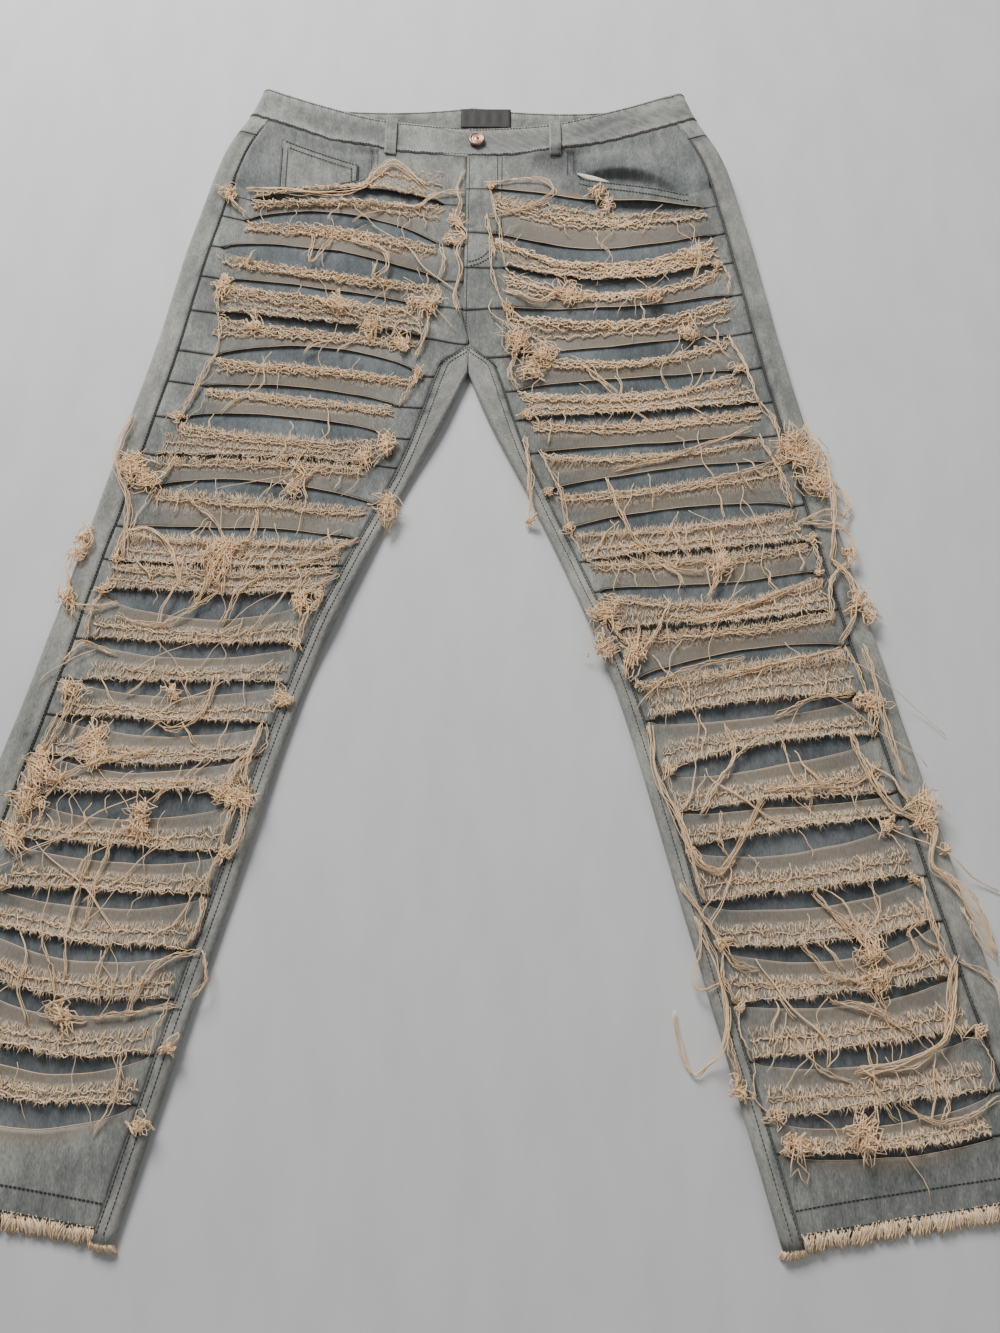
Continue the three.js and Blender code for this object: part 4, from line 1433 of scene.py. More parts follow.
@dataclass(frozen=True)
class Bundle:
    """Loose yarns that run together through (x, level) points, wider and higher where they are more."""

    strands: int
    route: Array

    @property
    def spread(self) -> float:
        """How far its yarns wind about its route."""
        return (0.6 + 0.30 * self.strands) * MM

    @property
    def height(self) -> float:
        """How far it rises over the cloth."""
        return (3.2 + 0.28 * self.strands) * MM


@dataclass(frozen=True)
class Knot:
    """A tangle of loops round a point (x, level)."""

    x: float
    level: float
    radius: float
    loops: int


@dataclass
class LooseYarns:
    """The strands, bundles and knots that cross the fronts."""

    wardrobe: Wardrobe
    front: SlashedFront
    seed: int = 77
    step: float = 4.2 * MM
    winding: float = 22.0 * MM
    sway: float = 2.2 * MM
    chain_chance: float = 0.5
    crossing_count: int = 150
    tuft_chance: float = 0.42
    shape: LaidShape = SHAPE

    def build(self) -> list:
        """Build the front's strands and its knots as a piece each."""
        side = self.front.side
        rng = np.random.default_rng(self.seed + side.value)
        strands, knots = Yarns(), Yarns()
        for count, route in left_bundles() if side is Side.LEFT else right_bundles():
            self._bundle(Bundle(count, CM * np.array(route)), strands, rng)
        self._chains(strands, rng)
        self._crossings(strands, rng)
        for x, level, radius in left_knots() if side is Side.LEFT else right_knots():
            self._knot(Knot(CM * x, CM * level, MM * radius, round(0.85 * radius)), knots, rng)
        self._edge_knots(knots, rng)
        return [
            self.wardrobe.dress(yarns.build(f"loose_{kind}_{side.word}"), self.wardrobe.yarn, Slot.YARN)
            for kind, yarns in (("strands", strands), ("knots", knots))
        ]

    def _over(self, x: Array, level: Array, height: Array) -> Array:
        """Points at a height over the cloth, or over the surface outside the cloth's outline."""
        side = self.front.side
        outer = self.shape.side_edge(level)
        inner = self.shape.inner_edge(level)
        off_leg = np.maximum(np.maximum(x - outer, inner - x), 0.0) * (level < self.shape.leg_gap_level)
        beyond = np.maximum(off_leg, x - outer)
        face = self.shape.face(side, np.clip(x, inner, outer), level)
        z = face * (1.0 - smoothstep(0.0, 0.018, beyond)) + height
        return self.shape.place(side, x, level, z)

    def _bundle(self, bundle: Bundle, yarns: Yarns, rng: Random) -> None:
        """Yarns along a smooth route: a curve through its points, and each yarn winds and sways about it."""
        route = bundle.route
        away = np.concatenate([[0.0], np.cumsum(np.linalg.norm(np.diff(route, axis=0), axis=1))])
        steps = max(14, int(away[-1] / self.step))
        s = np.linspace(0.0, away[-1], steps)
        x = through_stations(tuple(zip(away, route[:, 0])), s)
        level = through_stations(tuple(zip(away, route[:, 1])), s)
        t = s / away[-1]
        for _ in range(bundle.strands + 1):
            turn = rng.uniform(0.0, 2.0 * math.pi) + s / self.winding * rng.uniform(0.7, 1.3)
            off = bundle.spread * rng.uniform(0.5, 1.2)
            sway_x, sway_level = Wobble.draw(rng, 1.5, 4, 0.8), Wobble.draw(rng, 1.5, 4, 0.8)
            px = x + off * np.cos(turn) + self.sway * sway_x.at(t)
            pl = level + off * np.sin(turn) + self.sway * sway_level.at(t)
            ends = np.sin(math.pi * np.clip(t, 0.08, 0.92)) ** 0.35
            high = (bundle.height + 1.3 * MM * np.sin(turn)) * ends
            radii = rng.uniform(0.26, 0.46) * MM * (0.75 + 0.25 * np.sin(math.pi * t))[None]
            yarns.add(self._over(px, pl, high)[None], radii, np.array([rng.uniform(0.70, 0.95)]))

    def _chains(self, yarns: Yarns, rng: Random) -> None:
        """Bundles down the two edges, from the share of row ends in chain_chance to one or two rows below."""
        rows, rung = self.front.rows, self.front.rungs[0]
        for i, row in enumerate(rows):
            for at_start in (True, False):
                below = rows[max(0, i - int(rng.integers(1, 3)))]
                if below is row or rng.uniform() > self.chain_chance:
                    continue
                f = np.array([piece.start if at_start else piece.end for piece in (row, below)])
                level = np.array([float(piece.middle(end)) for piece, end in zip((row, below), f)])
                ends = np.stack([rung.across(f, level), level], axis=-1)
                bow = rng.uniform(-1.0, 1.6) * (-5.0 if at_start else 5.0) * MM
                route = np.array([ends[0], 0.5 * (ends[0] + ends[1]) + np.array([bow, 0.0]), ends[1]])
                self._bundle(Bundle(int(rng.integers(1, 5)), route), yarns, rng)

    def _crossings(self, yarns: Yarns, rng: Random) -> None:
        """One to three threads together that run down over the rows, from places drawn at random."""
        rung = self.front.rungs[0]
        s = np.linspace(0.0, 1.0, 12)
        for _ in range(self.crossing_count):
            level, f = rng.uniform(0.09, 0.93), rng.uniform(0.08, 0.92)
            span = rng.choice([0.020, 0.032, 0.055, 0.085], p=[0.45, 0.3, 0.17, 0.08]) * rng.uniform(0.7, 1.2)
            lean = rng.normal(0.0, 0.55)
            bend = Wobble.draw(rng, 0.6, 3)
            pl = level - span * s
            px = rung.across(np.array(f), pl) + lean * span * s + 0.16 * span * (bend.at(s) - bend.at(0.0))
            high = (2.2 + 2.8 * np.sin(math.pi * s) * rng.uniform(0.3, 1.0)) * MM
            for _ in range(rng.choice([1, 2, 3], p=[0.6, 0.25, 0.15])):
                shift = rng.normal(0.0, 1.0 * MM, (2, 1)) * s
                path = self._over(px + shift[0], pl + shift[1], high)[None]
                radii = np.full((1, len(s)), rng.uniform(0.26, 0.44) * MM)
                yarns.add(path, radii, np.array([rng.uniform(0.55, 1.0)]))

    def _knot(self, knot: Knot, yarns: Yarns, rng: Random) -> None:
        """Loops round a point: each wanders by a wobble out, one up the garment and one in height."""
        t = np.linspace(0.0, 1.0, 24)
        outer = float(self.shape.side_edge(np.array(knot.level))) - 0.2 * knot.radius
        for _ in range(knot.loops):
            reach = knot.radius * rng.uniform(0.6, 1.6)
            stretch = rng.uniform(0.6, 1.3)
            wave_x, wave_level, wave_z = (Wobble.draw(rng, 1.3, 4, 0.75) for _ in range(3))
            px = min(knot.x, outer) + reach * stretch * (wave_x.at(t) + rng.normal(0.0, 0.25))
            pl = knot.level + reach / stretch * 0.9 * (wave_level.at(t) + rng.normal(0.0, 0.25))
            high = (2.8 + 2.6 * wave_z.at(t)) * MM + 0.12 * reach
            radii = np.full((1, len(t)), rng.uniform(0.34, 0.52) * MM)
            yarns.add(self._over(px, pl, high)[None], radii, np.array([rng.uniform(0.6, 1.0)]))

    def _edge_knots(self, yarns: Yarns, rng: Random) -> None:
        """Small tufts of four loops where rows end, at the share of ends that tuft_chance gives."""
        for row in self.front.rows:
            for f in (row.start, row.end):
                if rng.uniform() < self.tuft_chance:
                    level = float(row.middle(np.array(f)))
                    x = float(self.front.rungs[0].across(np.array(f), np.array(level)))
                    shift = rng.normal(0.0, 2.2 * MM, 2)
                    radius = rng.uniform(4.0, 8.5) * MM
                    self._knot(Knot(x + shift[0], level + shift[1], radius, 4), yarns, rng)


def left_bundles() -> tuple:
    """The left side's main bundles: how many yarns, and (x, level) points in centimetres."""
    return (
        (6, ((31.5, 64), (32.5, 59), (31, 56), (30.5, 50))),
        (5, ((35, 53.5), (33.5, 51), (35, 49.5), (34, 44))),
        (4, ((35, 45.5), (33, 45), (30.5, 46))),
        (4, ((33, 60), (30, 57), (28, 58.5), (27, 60.5))),
        (6, ((30.5, 52.5), (28.5, 53), (26.5, 51.5), (25, 48.5))),
        (3, ((26.5, 57.5), (24.5, 56), (22.5, 54.5), (21.5, 53))),
        (4, ((19, 56.5), (19, 54.5), (20, 53), (21, 52.5))),
        (7, ((22, 51.5), (22.5, 49.5), (24, 46.5))),
        (4, ((17.5, 50.5), (19.5, 49), (20.5, 46.5), (21, 45.5))),
        (6, ((16, 62), (15, 60.5), (16, 59), (17, 58))),
        (3, ((13, 62), (15, 60), (16, 58.5))),
        (4, ((7, 59.5), (6.5, 58), (7, 56))),
        (4, ((9.5, 55), (12.5, 53), (15.5, 51.5))),
        (3, ((30.5, 45), (27, 44.5), (23, 47), (21.5, 48.5))),
        (3, ((11, 51.5), (13.5, 49.5), (15, 48.5), (13, 48), (12.5, 49))),
        (4, ((21, 41), (22, 37.5), (24.5, 36), (26, 36.5))),
        (6, ((16.5, 37.5), (17, 36), (18, 32.5))),
        (4, ((34.5, 40), (33, 42), (30, 41.5))),
        (6, ((34.5, 29.5), (36, 27), (36, 25))),
        (5, ((34, 30), (30.5, 32), (28, 33), (25.5, 34))),
        (4, ((25, 30), (23.5, 31.5), (22, 32))),
        (7, ((17.5, 35), (18.5, 33.5), (19, 31))),
        (6, ((17.5, 31.5), (17.5, 28), (19.5, 26))),
        (3, ((29.5, 26.5), (30, 22), (30.5, 19.5), (30, 16))),
        (3, ((28, 26.5), (29, 22), (29, 20))),
        (5, ((20, 23.5), (20, 21.5), (21, 19.5))),
        (5, ((20, 19.5), (23, 18), (24.5, 15.5), (25, 14))),
        (2, ((32.5, 19), (30.5, 14.5), (30.5, 13))),
        (4, ((28.5, 15), (31, 13.5), (30, 13), (28, 13.5))),
        (4, ((27.5, 13.5), (23, 15), (21, 15.5))),
        (2, ((27, 19), (27.5, 17), (27, 14.5))),
        (4, ((19.5, 19.5), (19, 17.5), (20, 16))),
        (2, ((25, 12), (25, 8.5), (26.5, 6))),
        (5, (
            (1, 98), (1.5, 95.5), (1, 93.5), (1.5, 91), (0.5, 89), (1.5, 87), (1, 85), (1.5, 82.5), (1, 80),
        )),
        (6, ((23, 91.5), (11.5, 94.5), (8, 98), (6.5, 97), (5, 95.5))),
        (4, ((8, 93), (6, 92.5), (3.5, 94.5), (1, 95))),
        (3, ((14, 87.5), (16, 84), (16, 87.5))),
        (4, ((12, 87.5), (8.5, 86), (8.5, 84), (9.5, 83), (9.5, 85))),
        (4, ((25.5, 91), (24.5, 89.5), (23, 88.5))),
        (5, ((4, 81), (4, 77.5), (5, 74))),
    )


def right_bundles() -> tuple:
    """The right side's main bundles, given as in left_bundles."""
    return (
        (4, ((19, 22.5), (20.5, 18), (20, 12), (18.5, 11), (17.5, 12.5), (17, 15.5))),
        (6, ((32, 63.5), (33.5, 58.5), (33.5, 52.5), (33, 50))),
        (5, ((33, 50), (34.5, 48), (34.5, 45), (33, 42.5))),
        (5, ((35, 42), (35.5, 37.5), (36, 35), (37, 30.5))),
        (3, ((12.5, 47.5), (14, 45.5), (15, 44.5))),
        (3, ((18, 48), (16.5, 45), (15.5, 44))),
        (6, ((23.5, 52.5), (22.5, 49.5), (21.5, 48))),
        (3, ((13, 60.5), (16, 54), (17.5, 52.5))),
        (2, ((19.5, 56.5), (18.5, 54.5), (17.5, 53))),
        (3, ((17.5, 52.5), (19, 51), (21.5, 50.5))),
        (5, ((31.5, 58.5), (35, 56.5), (35.5, 55), (34.5, 54))),
        (4, ((35, 54), (33, 54.5), (30.5, 54))),
        (5, ((31, 54), (35, 52), (35, 50), (34.5, 49.5))),
        (5, ((34.5, 49.5), (33, 48.5), (32.5, 44.5))),
        (5, ((33.5, 45), (36, 45.5), (37, 44.5))),
        (4, ((22, 59), (26, 59.5), (30.5, 60.5))),
        (5, ((20, 46), (25.5, 47), (31, 48.5))),
        (4, ((22.5, 41), (28, 41.5), (33, 42))),
        (4, ((26.5, 37), (30, 38), (33.5, 38))),
        (4, ((15.5, 41), (19, 42), (24.5, 42.5))),
        (4, ((14, 61.5), (18.5, 62), (24, 63), (27, 64))),
        (6, ((16, 38), (16.5, 33), (18, 30), (20, 26), (21, 25.5), (22, 26.5), (25, 30.5))),
        (3, ((19, 27.5), (20, 26), (21.5, 25.5), (22.5, 26))),
        (4, ((22.5, 37), (23, 34.5), (21.5, 32.5), (20, 30))),
        (2, ((25.5, 35.5), (23, 34), (22, 32.5))),
        (2, ((21.5, 30), (21.5, 27), (22.5, 26))),
        (5, ((25, 31), (28.5, 31), (33.5, 31), (35, 32))),
        (6, ((33, 35), (34, 31.5), (35.5, 28.5), (38, 27))),
        (7, ((37, 28.5), (38.5, 26), (38, 23.5), (39.5, 22), (41, 19.5), (42.5, 16.5))),
        (4, ((39, 23), (41, 21), (42.5, 17.5))),
        (4, ((40, 20), (41.5, 17), (42.5, 16))),
        (3, ((39.5, 16.5), (42, 14), (42, 12.5))),
        (5, ((28.5, 23), (31, 20), (33, 17.5))),
        (2, ((33, 23.5), (33.5, 21), (32.5, 19))),
        (4, ((33, 16.5), (36, 17.5), (35.5, 19), (37, 19.5))),
        (5, ((18, 25), (20.5, 21), (22, 18.5), (23.5, 18))),
        (3, ((19.5, 22), (19, 17), (21, 17.5))),
        (4, ((27, 19.5), (29, 17), (32, 15.5), (32.5, 14.5))),
        (6, ((29, 15), (32, 14), (35, 12))),
        (9, ((39, 16.5), (38, 13), (37.5, 11.5), (34, 10), (30.5, 10))),
        (2, ((25.5, 13.5), (28.5, 10), (30, 9.5))),
        (2, ((31.5, 12), (32, 8), (33, 6.5))),
        (5, ((21, 16), (21, 13), (21.5, 11))),
        (3, ((36.5, 9.5), (37, 7), (36.5, 6))),
        (3, ((33.5, 7.5), (36, 6), (38.5, 6), (41, 7))),
        (5, ((5.5, 65.5), (6, 61.5), (6, 57.5))),
        (4, ((1.5, 96), (5, 96.5), (7.5, 96), (8.5, 94.5), (7, 93), (2, 92))),
        (3, ((1.5, 92), (2, 89), (2.5, 86.5))),
        (4, ((23, 86), (23, 83.5), (22.5, 81))),
        (4, ((3.5, 82.5), (7, 80.5), (9.5, 81.5), (12, 80.5))),
    )


def left_knots() -> tuple:
    """The left side's knots: x and level in centimetres, and radius in millimetres."""
    return (
        (31, 59, 16), (29.5, 58, 12), (34.5, 51.5, 8), (35, 50, 8), (21.5, 52, 15), (16, 59, 8),
        (7.5, 64.5, 12), (9.5, 63, 9), (7, 58.5, 11), (35, 46, 9), (14, 48.5, 9), (24.5, 39, 7),
        (15, 40, 9), (33.5, 38, 10),
        (30.5, 34.5, 13), (30.5, 33, 11), (34.5, 31, 13), (35.5, 28.5, 12), (36, 25.5, 12), (26, 29, 9),
        (26, 27.5, 11), (19, 31.5, 13), (17.5, 31.5, 10), (30, 13.5, 9), (21.5, 12.5, 8), (23, 7, 7),
        (1.5, 91, 9), (2, 88.5, 8), (25, 90.5, 9), (24.5, 79.5, 11), (13, 79, 12), (9.5, 77, 10),
        (6.5, 75.5, 11), (4, 80.5, 12), (21, 75.5, 9),
    )


def right_knots() -> tuple:
    """The right side's knots, given as in left_knots."""
    return (
        (15, 44, 14), (23, 51, 12), (30.5, 61.5, 16), (32, 60.5, 13), (32.5, 57.5, 14), (35, 50.5, 7),
        (35, 46, 9), (36.5, 44.5, 7), (35, 37, 9), (38.5, 28.5, 12), (39.5, 24.5, 6), (35, 27, 9),
        (38, 27, 9), (32.5, 18, 12), (33, 16, 9), (30.5, 6, 14), (25.5, 6, 10), (21.5, 10, 8), (6, 57.5, 6),
        (12.5, 48, 12), (12.5, 45, 13), (13, 94, 9), (14, 92, 8), (22.5, 84, 9), (10, 81, 13), (5, 76, 15),
        (7.5, 74.5, 12), (6, 72.5, 10), (21.5, 75, 11), (18.5, 79.5, 9),
    )


# Hem fringes

@dataclass
class HemFringe:
    """The brush of cut yarns along the front and back edges of one hem."""

    wardrobe: Wardrobe
    side: Side
    seed: int
    front_count: int = 900
    back_count: int = 620
    hair_radius: float = 0.40 * MM
    path: SectionPath = field(default_factory=SectionPath)

    def build(self) -> list:
        """Build the front's thick brush and the back's thin one."""
        rng = np.random.default_rng(self.seed)
        shape, word, count = self.path.shape, self.side.word, self.front_count
        front, back = Yarns(), Yarns()
        level = rng.uniform(-0.0005, 0.004, count)
        f = rng.uniform(0.0, 1.0, count)
        x = lerp(shape.front_edge(self.side, level), shape.outseam(level), f)
        z = shape.face(self.side, x, level) + rng.uniform(-0.4, 0.5, count) * MM
        self._brush(front, x, level, z, rng, rng.uniform(0.008, 0.0125, count), False)
        count = self.back_count
        u = rng.uniform(0.0, 5.0, count)
        level = np.full(count, shape.back_hem_level) + rng.uniform(0.0, 1.0, count) * MM
        points = self.path.points(self.side, shape.outseam(level), level, u, np.full(count, 0.5 * MM))
        lengths = rng.uniform(0.003, 0.0075, count)
        self._brush(back, np.abs(points[:, 0]), level, points[:, 2], rng, lengths, True)
        nodes = (f"front_hem_fringe_{word}", f"back_hem_fringe_{word}")
        return [
            self.wardrobe.dress(yarns.build(f"{node}_yarns"), self.wardrobe.yarn, Slot.YARN, node)
            for yarns, node in zip((front, back), nodes)
        ]

    def _brush(
        self, yarns: Yarns, x: Array, level: Array, z: Array, rng: Random,
        length: Array, low: bool,
    ) -> None:
        """Hairs that point down past the hem, lean a little together, and sag to the surface at their tips.

        Args:
            yarns: where they are added.
            x: where each starts, out from the centre line.
            level: the level where it starts.
            z: the height where it starts.
            rng: the random numbers.
            length: how long each is.
            low: whether they belong to the back's hem, so that they lie near the surface.
        """
        count = len(x)
        k = np.linspace(0.0, 1.0, 4)[None, :]
        clump = np.sin(x * 420.0 + 5.0 * np.sin(x * 75.0))
        lean = 0.35 * clump + rng.normal(0.0, 0.18, count)
        curl = rng.uniform(0.1, 0.8, count)[:, None] * MM
        phase = rng.uniform(0.0, 2.0 * math.pi, count)[:, None]
        px = x[:, None] + lean[:, None] * length[:, None] * k
        px = px + curl * (np.sin(4.0 * k + phase) - np.sin(phase))
        pl = level[:, None] - length[:, None] * k
        drop = 0.55 * k**1.6 if low else 0.45 * k**1.8
        pz = np.maximum(z[:, None] * (1.0 - drop) + 0.4 * MM * np.sin(3.0 * k + phase), 0.5 * MM)
        paths = self.path.shape.place(self.side, px, pl, pz)
        radii = np.full_like(px, self.hair_radius)
        yarns.add(paths, radii, rng.uniform(0.25, 0.7, count), pointed=True)


# Pockets, fly, loops, label and button

@dataclass(frozen=True)
class CoinPocketShape:
    """The coin pocket's place on the left facing: its two sides, and its top edge, which rises outwards."""

    inner: float = 0.120
    outer: float = 0.201
    top_at_inner: float = 0.978
    rise: float = 0.006

    def top(self, x: Array) -> Array:
        """Level of the top edge."""
        return self.top_at_inner + self.rise * (x - self.inner) / (self.outer - self.inner)


@dataclass
class FrontDetails:
    """The pocket facings and bags, the coin pocket, the fly's flap, the belt loops, the label and button."""

    wardrobe: Wardrobe
    coin: CoinPocketShape = CoinPocketShape()
    shape: LaidShape = SHAPE

    def _layer(
        self, name: str, side: Side, x: Array, level: Array, depth: Array, thickness: float,
        **marks: Array,
    ) -> Piece:
        """A sheet that lies a depth below the front's face.

        Args:
            name: the piece's name.
            side: the side of the garment.
            x: grid of distances from the centre line.
            level: grid of levels.
            depth: depth of its face below the front's face.
            thickness: its wall.
            marks: marks for the finish.

        Returns:
            The sheet.
        """
        points = self.shape.place(side, x, level, self.shape.face(side, x, level) - depth)
        piece = one_grid(name, side, points, flat_uv(x, level), **marks)
        solidify(piece, thickness)
        return piece

    def facing(self, side: Side) -> Piece:
        """The denim between the pocket mouth and the waistband, which bulges over the gaping right mouth.

        The bulge rises from the waistband to a brow, which is highest in the middle of the mouth, and then
        drops to the pocket's inside.
        """
        shape = self.shape
        across = np.linspace(shape.mouth_start - 0.016, 0.250, 54)[None, :]
        t = np.linspace(-0.30, 1.0, 40)[:, None]
        mouth = shape.mouth_level(across)
        level = lerp(mouth, shape.waist_seam_level - shape.seam_gap, t)
        share = (across - across[0, 0]) / (across[0, -1] - across[0, 0])
        x = lerp(across[0, 0], shape.outseam(level) - shape.seam_gap, share)
        mouth = shape.mouth_level(x)
        outer = smoothstep(0.88, 1.0, share) * smoothstep(0.04, 0.12, t)
        settle = np.maximum(smoothstep(0.80, 1.0, t), outer)
        depth = 2.4 * MM * (1.0 - settle)
        if side is Side.RIGHT:
            arch = np.sin(math.pi * shape.along_mouth(x)) ** 0.8
            brow = 0.020 * arch
            over = level - mouth - brow
            bulge = smoothstep(-0.0045, 0.0015, over) * (1.0 - smoothstep(0.004, 0.040, over))
            depth = depth - 8.5 * MM * arch * bulge
            depth = depth + 1.2 * MM * arch * (1.0 - smoothstep(-0.006, 0.0, over))
        seam = 0.7 * smoothstep(0.97, 1.0, t) * np.ones_like(level)
        # Painted shade: darker near the pocket mouth, fading towards the waistband.
        shade = 0.75 - 0.35 * smoothstep(0.2, 0.9, t) * np.ones_like(level)
        name = f"pocket_facing_{side.word}_denim"
        piece = self._layer(name, side, x, level, depth, 1.0 * MM, seam=seam, dusk=shade)
        self.wardrobe.dress(piece, self.wardrobe.denim, Slot.DENIM, f"pocket_facing_{side.word}")
        return piece

    def bag(self, side: Side) -> Piece:
        """The pocket bag under the front, whose edge shows in the inner end of the right mouth."""
        shape = self.shape
        from_x, to_x = 0.064, 0.204
        x = np.linspace(from_x, to_x, 40)[None, :] * np.ones((36, 1))
        t = np.linspace(0.0, 1.0, 36)[:, None]
        slope = shape.mouth_drop * (x - from_x) / (to_x - from_x)
        level = shape.mouth_top_level - lerp(0.140, 0.010, t) - slope
        depth = 4.9 * MM + 0.3 * MM * np.sin(60.0 * x + 30.0 * level)
        piece = self._layer(f"pocket_bag_{side.word}_cotton", side, x, level, depth, 0.6 * MM)
        self.wardrobe.dress(piece, self.wardrobe.pocket, Slot.POCKET, f"pocket_bag_{side.word}")
        return piece

    def bag_edge(self) -> Piece:
        """The folded sliver of pocket cotton in the right mouth: a soft roll that swells and tapers."""
        shape = self.shape
        s = np.linspace(0.0, 1.0, 26)[:, None]
        turn = np.linspace(0.0, 2.0 * math.pi, 13)[None, :]
        x = lerp(shape.mouth_start + 0.002, shape.mouth_start + 0.036, s)
        swell = np.sin(math.pi * np.clip(s, 0.03, 0.97)) ** 0.6
        level = shape.mouth_level(x) + 0.004 + 0.0036 * swell * np.cos(turn)
        x = x * np.ones_like(turn)
        z = shape.face(Side.RIGHT, x, level) + 0.3 * MM + 1.7 * MM * swell * np.sin(turn)
        points = shape.place(Side.RIGHT, x, level, z)
        piece = one_grid("pocket_bag_edge_right", Side.RIGHT, points, flat_uv(x, level))
        seal(piece, 0.05 * MM)
        return self.wardrobe.dress(piece, self.wardrobe.pocket, Slot.POCKET)

    def coin_pocket(self) -> Piece:
        """The small pocket on the left facing, with a top edge that stands out a little."""
        coin = self.coin
        across = np.linspace(coin.inner, coin.outer, 34)[None, :]
        t = np.linspace(0.0, 1.0, 18)[:, None]
        level = lerp(self.shape.mouth_level(across) + 0.002, coin.top(across), t)
        x = across * np.ones_like(level)
        beside = np.minimum(x - coin.inner, coin.outer - x) / (coin.outer - coin.inner)
        edge = np.minimum(beside, (1.0 - t) * 0.5)
        seam = 0.75 * smoothstep(0.02, 0.0, edge)
        depth = 1.3 * MM - 0.5 * MM * smoothstep(0.80, 0.84, t) * np.ones_like(x)
        piece = self._layer("coin_pocket_denim", Side.LEFT, x, level, depth, 0.8 * MM, seam=seam)
        self.wardrobe.dress(piece, self.wardrobe.denim, Slot.DENIM, "coin_pocket")
        return piece

    def fly_shield(self) -> Piece:
        """The flap behind the fly, which narrows to its foot."""
        shape = self.shape
        t = np.linspace(0.0, 1.0, 30)[:, None]
        level = lerp(0.800, shape.waist_seam_level - 0.002, t) * np.ones((1, 16))
        half = 0.034 * smoothstep(0.740, 0.870, level)
        x = lerp(-half, half, np.linspace(0.0, 1.0, 16)[None, :])
        piece = self._layer("fly_shield_denim", Side.RIGHT, x, level, 2.6 * MM, 0.9 * MM)
        self.wardrobe.dress(piece, self.wardrobe.denim, Slot.DENIM, "fly_shield")
        return piece

    def belt_loop(self, node: str, side: Side, on_front: bool) -> Piece:
        """A belt loop: a folded strip with rounded long edges, bowed up from its ends on the front.

        Its section is a flat oval, carried up the loop's line.
        """
        low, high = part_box(node)
        middle_x, half = (low[0] + high[0]) / 2, (high[0] - low[0]) / 2
        t = np.linspace(0.0, 1.0, 30)[:, None]
        turn = np.linspace(0.0, 2.0 * math.pi, 25)[None, :-1]
        flat = np.sign(np.cos(turn)) * np.abs(np.cos(turn)) ** 0.35
        thick = np.sign(np.sin(turn)) * np.abs(np.sin(turn)) ** 0.6
        if on_front:
            level = lerp(self.shape.waist_seam_level - 0.007, self.shape.waist_top_level + 0.002, t)
            x = np.abs(middle_x) + half * flat * np.ones_like(level)
            bow = 1.9 * MM * smoothstep(0.0, 0.22, t) * smoothstep(0.0, 0.22, 1.0 - t) + 1.2 * MM
            ribs = 0.25 * MM * np.cos(3 * math.pi * flat)
            z = self.shape.face(side, x, level) + bow + 0.75 * MM * thick + ribs
            points = self.shape.place(side, x, level * np.ones_like(x), z)
        else:
            y = lerp(low[1], high[1], t) * np.ones_like(turn)
            z = (low[2] + high[2]) / 2 + (high[2] - low[2]) / 2 * thick * np.ones_like(y)
            points = np.stack([middle_x + half * flat * np.ones_like(y), y, z], axis=-1)
        points = np.concatenate([points, points[:, :1]], axis=1)
        patches = ClothPatches()
        edge = np.abs(np.concatenate([flat, flat[:, :1]], axis=1)) > 0.85
        worn = 0.8 * edge * np.ones_like(points[..., 0])
        patches.add(points, Side.RIGHT, points[..., :2], worn=worn)
        rows, columns = points.shape[:2]
        index = np.arange(rows * columns).reshape(rows, columns)
        patches.faces.append(index[0, :-1][None, ::-1])
        patches.faces.append(index[-1, :-1][None, :])
        piece = patches.build(f"{node}_denim")
        seal(piece)
        self.wardrobe.dress(piece, self.wardrobe.denim, Slot.DENIM, node)
        return piece

    def label(self) -> Piece:
        """The plain woven label, a little puckered between its stitched ends."""
        low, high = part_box("waist_label")
        x = np.linspace(low[0], high[0], 28)[None, :] * np.ones((14, 1))
        y = np.linspace(low[1], high[1], 14)[:, None] * np.ones((1, 28))
        ripple = 0.25 * MM * np.sin(9.0 * math.pi * (x - low[0]) / (high[0] - low[0]))
        z = high[2] + 0.2 * MM + ripple * np.sin(math.pi * (y - low[1]) / (high[1] - low[1]))
        piece = one_grid("waist_label_woven", Side.RIGHT, np.stack([x, y, z], axis=-1), flat_uv(x, y))
        solidify(piece, 0.5 * MM)
        self.wardrobe.dress(piece, self.wardrobe.label, Slot.LABEL, "waist_label")
        return piece

    def button(self) -> Piece:
        """The turned waist button: a profile with a foot, a rolled rim and a dished, ringed cap."""
        low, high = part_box("waist_button")
        centre = Vector(((low[0] + high[0]) / 2, (low[1] + high[1]) / 2, low[2] + 0.6 * MM))
        reach, rise = (high[0] - low[0]) / 2, high[2] - low[2]
        profile = np.array([
            (0.0, 0.0), (0.40, 0.0), (0.42, 0.30), (0.80, 0.38), (0.95, 0.48), (1.0, 0.64), (0.97, 0.82),
            (0.90, 0.95), (0.83, 1.0), (0.76, 0.95), (0.72, 0.84), (0.66, 0.80), (0.52, 0.80), (0.49, 0.85),
            (0.46, 0.80), (0.30, 0.84), (0.16, 0.90), (0.0, 0.92),
        ])
        angle = np.linspace(0.0, 2.0 * math.pi, 41)[None, :]
        radius = reach * profile[:, :1]
        x = centre.x + radius * np.cos(angle)
        y = centre.y + radius * np.sin(angle)
        z = centre.z + rise * profile[:, 1:] * np.ones_like(angle)
        piece = one_grid("waist_button_cap", Side.RIGHT, np.stack([x, y, z], axis=-1), flat_uv(x, y))
        seal(piece)
        return self.wardrobe.dress(piece, self.wardrobe.copper, Slot.METAL, "waist_button")

